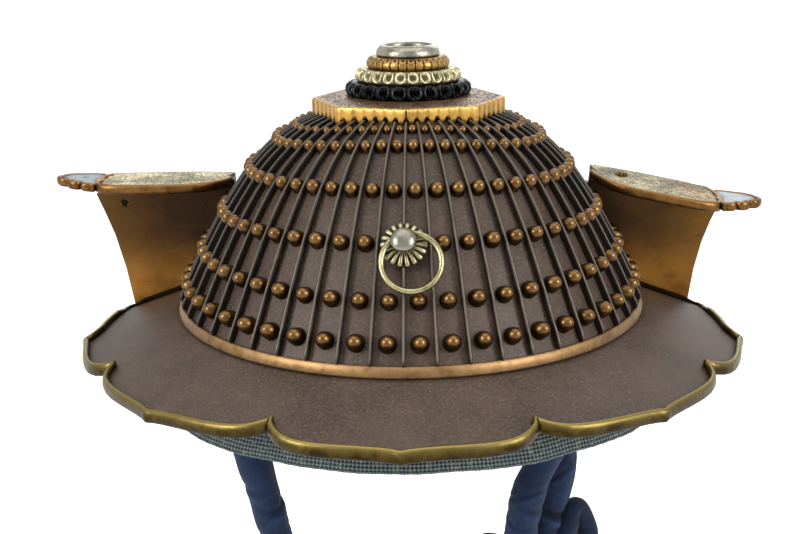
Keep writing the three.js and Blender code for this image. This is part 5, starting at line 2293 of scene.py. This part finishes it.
    def ear_outline(self, inset: float, drop: float) -> np.ndarray:
        """The ear's lobed outline.

        Args:
            inset: how far it is drawn in towards the ear's middle.
            drop: how far it lies under the ear's upper face.

        Returns:
            A closed line of points.
        """
        loop = list(self.ear)
        dense = curve_through([(a, y, 0.0) for a, y in [*loop[-2:], *loop, *loop[:2]]], 0.5)
        first = int(np.argmin(np.linalg.norm(dense[:40] - np.array([*loop[-1], 0.0]), axis=1)))
        gap = np.linalg.norm(dense[-60:, :2] - dense[first, :2], axis=1)
        last = len(dense) - 60 + int(np.argmin(gap))
        line = dense[first:last]
        inward = np.array([161.0, 18.0]) - line[:, :2]
        inward /= np.linalg.norm(inward, axis=1, keepdims=True)
        flat = line[:, :2] + inward * inset
        across = flat[:, 0] + 0.7 - self.inset
        height = self.ear_height(flat[:, 0], flat[:, 1]) - drop
        return np.stack([self.side * across, flat[:, 1], height], 1)

    def ear_plate(self, finish: Finish) -> Piece:
        """Makes the thin plate inside the ear's bead."""
        levels = [
            (9.0, -0.7), (6.0, -0.7), (4.0, -0.7), (2.2, -0.6), (1.5, -0.2), (1.5, 1.1), (2.4, 1.4), (6.0, 1.4),
        ]
        rows = np.array([self.ear_outline(inset, drop) for inset, drop in levels])
        # Painted shade in the groove beside the bead and on the plate's underside.
        dark = spread([0, 0, 0.2, 0.8, 1, 1, 0.6, 0.3], rows.shape[1])
        return Skin(rows, ends=Ends.FAN, size=(80.0, 20.0), marks={"hollow": dark}).build(f"{self.name}_ear_plate", finish)

    def stud(self, across: float, y: float, finish: Finish) -> Piece:
        """Makes the small stud with a flower head on the facing.

        Args:
            across: its place out from the middle.
            y: its place forwards.
            finish: its metal.

        Returns:
            The stud.
        """
        petals = 8
        angle = np.arange(petals * 8) * TAU / (petals * 8)
        ripple = 0.5 + 0.5 * np.cos(petals * angle)
        # dark: painted shade in the grooves between the petals.
        rows, dark = [], []
        for radius, z, depth in (
            (3.3, 0.05, 0.4), (3.5, 0.5, 1.0), (3.1, 1.1, 1.0), (2.0, 1.6, 0.8), (1.3, 1.5, 0.2), (1.1, 1.9, 0.0),
            (0.5, 2.2, 0.0),
        ):
            r = radius - 0.45 * depth * (1 - ripple)
            rows.append(upright(r, angle, z - 0.3 * depth * (1 - ripple)))
            dark.append((1 - ripple) * depth)
        base = float(self.lip_height(across, y)) + self.wall + self.gap + self.facing
        place = np.array([self.side * across, y, base + 0.1])
        return Skin(np.array(rows) + place, ends=Ends.FAN, size=(22.0, 5.0), marks={"hollow": np.array(dark)}).build(
            f"{self.name}_flap_flower_stud", finish
        )

    def build(
        self, bowl: Bowl, guard: NeckGuard, back: Finish, leather: Finish,
        gilt: Finish, silver: Finish,
    ) -> None:
        """Makes the whole flap.

        Args:
            bowl: the bowl that it clears.
            guard: the neck guard that it stands on.
            back: lacquer of its back.
            leather: leather of its front and of the lip's upper face.
            gilt: gilding of its beads.
            silver: metal of the ear.
        """
        grid = self.grid(bowl, guard)
        row = np.arange(grid.shape[0])[:, None] * np.ones(grid.shape[1])
        lane = np.linspace(0.0, 1.0, grid.shape[1])[None, :] * np.ones(row.shape)
        tear = np.zeros(row.shape)
        # Painted shade on the flap's back, set as its hollow mark: dark towards the top where the lip turns back
        # over it, and towards the bowl.
        bowl_side_shade = ease(lane, 0.5, 0.0) * ease(row, 0.0, 10.0)
        bend = self.lip_shade_strength * ease(row, 1.0, 20.0) * (0.78 + 0.22 * ease(lane, 1.0, 0.4)) + 0.3 * bowl_side_shade
        if self.side < 0:
            away = np.hypot((grid[..., 0] + 148.6) / 2.1, (grid[..., 2] - 36.3) / 1.4)
            tear = ease(away, 1.5, 0.5) * (row < 30)
        bend = np.clip(bend, 0.0, 1.0)
        plate = self.sheet(f"{self.name}_flap_plate", grid, 0.0, self.wall, back, {"hollow": bend, "edge": tear})
        stand_for(plate, "gold_lacquer", f"{self.name}_flap")
        low = self.wall + self.gap
        hide = self.sheet(f"{self.name}_flap_leather", grid, low, low + self.facing, leather, {})
        stand_for(hide, "worn_leather", f"{self.name}_flap_facing")
        stand_for(self.rim(gilt), "dull_gilt", f"{self.name}_flap_rim")
        stand_for(self.ear_plate(silver), "silvered_copper", f"{self.name}_ear")
        path = self.ear_outline(0.0, 0.5)
        tall = 4.4 - 2.0 * ease(path[:, 1], 9.0, 20.0)
        bead = self.bead(f"{self.name}_ear_bead", path, 2.2, tall, True, gilt)
        stand_for(bead, "dull_gilt", f"{self.name}_ear_rim")
        if self.side > 0:
            stand_for(self.stud(104.0, 20.0, gilt), "gilt_copper", f"{self.name}_flap_stud")


# Assembly


def dress(frame: dict[str, Any], node: str, finish: Finish) -> None:
    """Gives a CAD node that stays a better material.

    Args:
        frame: the loaded frame.
        node: the node's name.
        finish: the material.
    """
    slots = frame["nodes"][node].data.materials
    slots.clear()
    slots.append(finish)
    log.info("%s: dressed", node)


def main() -> None:
    """Builds the helmet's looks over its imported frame."""
    logging.basicConfig(level=logging.INFO, format="%(name)s: %(message)s")
    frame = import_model()
    studio = Studio()
    studio.aim()
    # A darker copy of the cord's cloth, painted shade for the bow.
    bow_shade_cloth = IndigoCloth("shaded_indigo_cloth", body="101a2c", pale="1d2c44", dark="03060c")
    ChinCord().build(IndigoCloth().build(), bow_shade_cloth.build())
    studio.build()

    russet = RussetLacquer().build()
    gilt = FittingMetal("bright_gilding", Tone.GILT, roughness=0.3).build()
    old_gilt = FittingMetal("old_gilding", Tone.OLD_GILT, roughness=0.34, mottle=0.22, edge_light=0.85).build()
    brass = FittingMetal("pale_brass", Tone.PALE_BRASS, roughness=0.27).build()
    silver = FittingMetal("silvering", Tone.SILVER, roughness=0.25).build()
    ear_silver = FittingMetal("ear_silvering", Tone.EAR_SILVER, roughness=0.35).build()
    old_silver = FittingMetal("old_silvering", Tone.OLD_SILVER, roughness=0.34).build()
    old_brass = FittingMetal("old_brass", Tone.OLD_BRASS, roughness=0.3).build()

    band = FittingMetal("band_gilding", Tone.BAND_GILT, roughness=0.42).build()
    bowl = Bowl()
    bronze = FittingMetal("rivet_bronze", Tone.BRONZE, roughness=0.3).build()
    bowl.build(russet, RibLacquer().build(), bronze, band)
    CrownFitting().build(
        bowl,
        gilt,
        EngravedTop().build(),
        FittingMetal("black_copper_patina", Tone.BLACK, roughness=0.25, mottle=0.3, edge_light=0.9).build(),
        old_silver,
        FittingMetal("warm_gilding", Tone.FLOWER_GILT, roughness=0.3).build(),
        silver,
    )
    boss_silver = FittingMetal("boss_silvering", Tone.BOSS_SILVER, roughness=0.27).build()
    RearFitting().build(old_brass, boss_silver, brass)
    guard = NeckGuard()
    guard.build(russet, old_gilt)
    Peak().build(guard, russet, old_gilt)
    Collar().build(CoarseWeave().build(), CoarseWeave("hem_weave", 0.0013).build())
    back, leather = GoldLacquer().build(), PrintedLeather().build()
    lip_gilt = FittingMetal("lip_gilding", Tone.LIP_GILT, roughness=0.34).build()
    olive = PrintedLeather("olive_printed_leather", ground="6f6a54", worn="a49a7b").build()
    flaps = (
        EarFlap("left", -1, 52.0, 0.0, 0.0, 0.0, 52.6, 0.1, -15.5, (146.5, 150.0, 154.5, 159.0, 163.0), 1.05),
        EarFlap("right", 1, 52.4, 0.2, 0.07, 3.0, 41.4, -0.02, -14.5, (143.0, 145.5, 149.0, 152.5, 156.0)),
    )
    for flap, hide in zip(flaps, (leather, olive)):
        flap.build(bowl, guard, back, hide, lip_gilt, ear_silver)
    iron = FittingMetal("dark_iron", Tone.IRON, roughness=0.5, metallic=0.8).build()
    for node in ("left_cord_anchor", "right_cord_anchor"):
        dress(frame, node, iron)


if __name__ == "__main__":
    main()
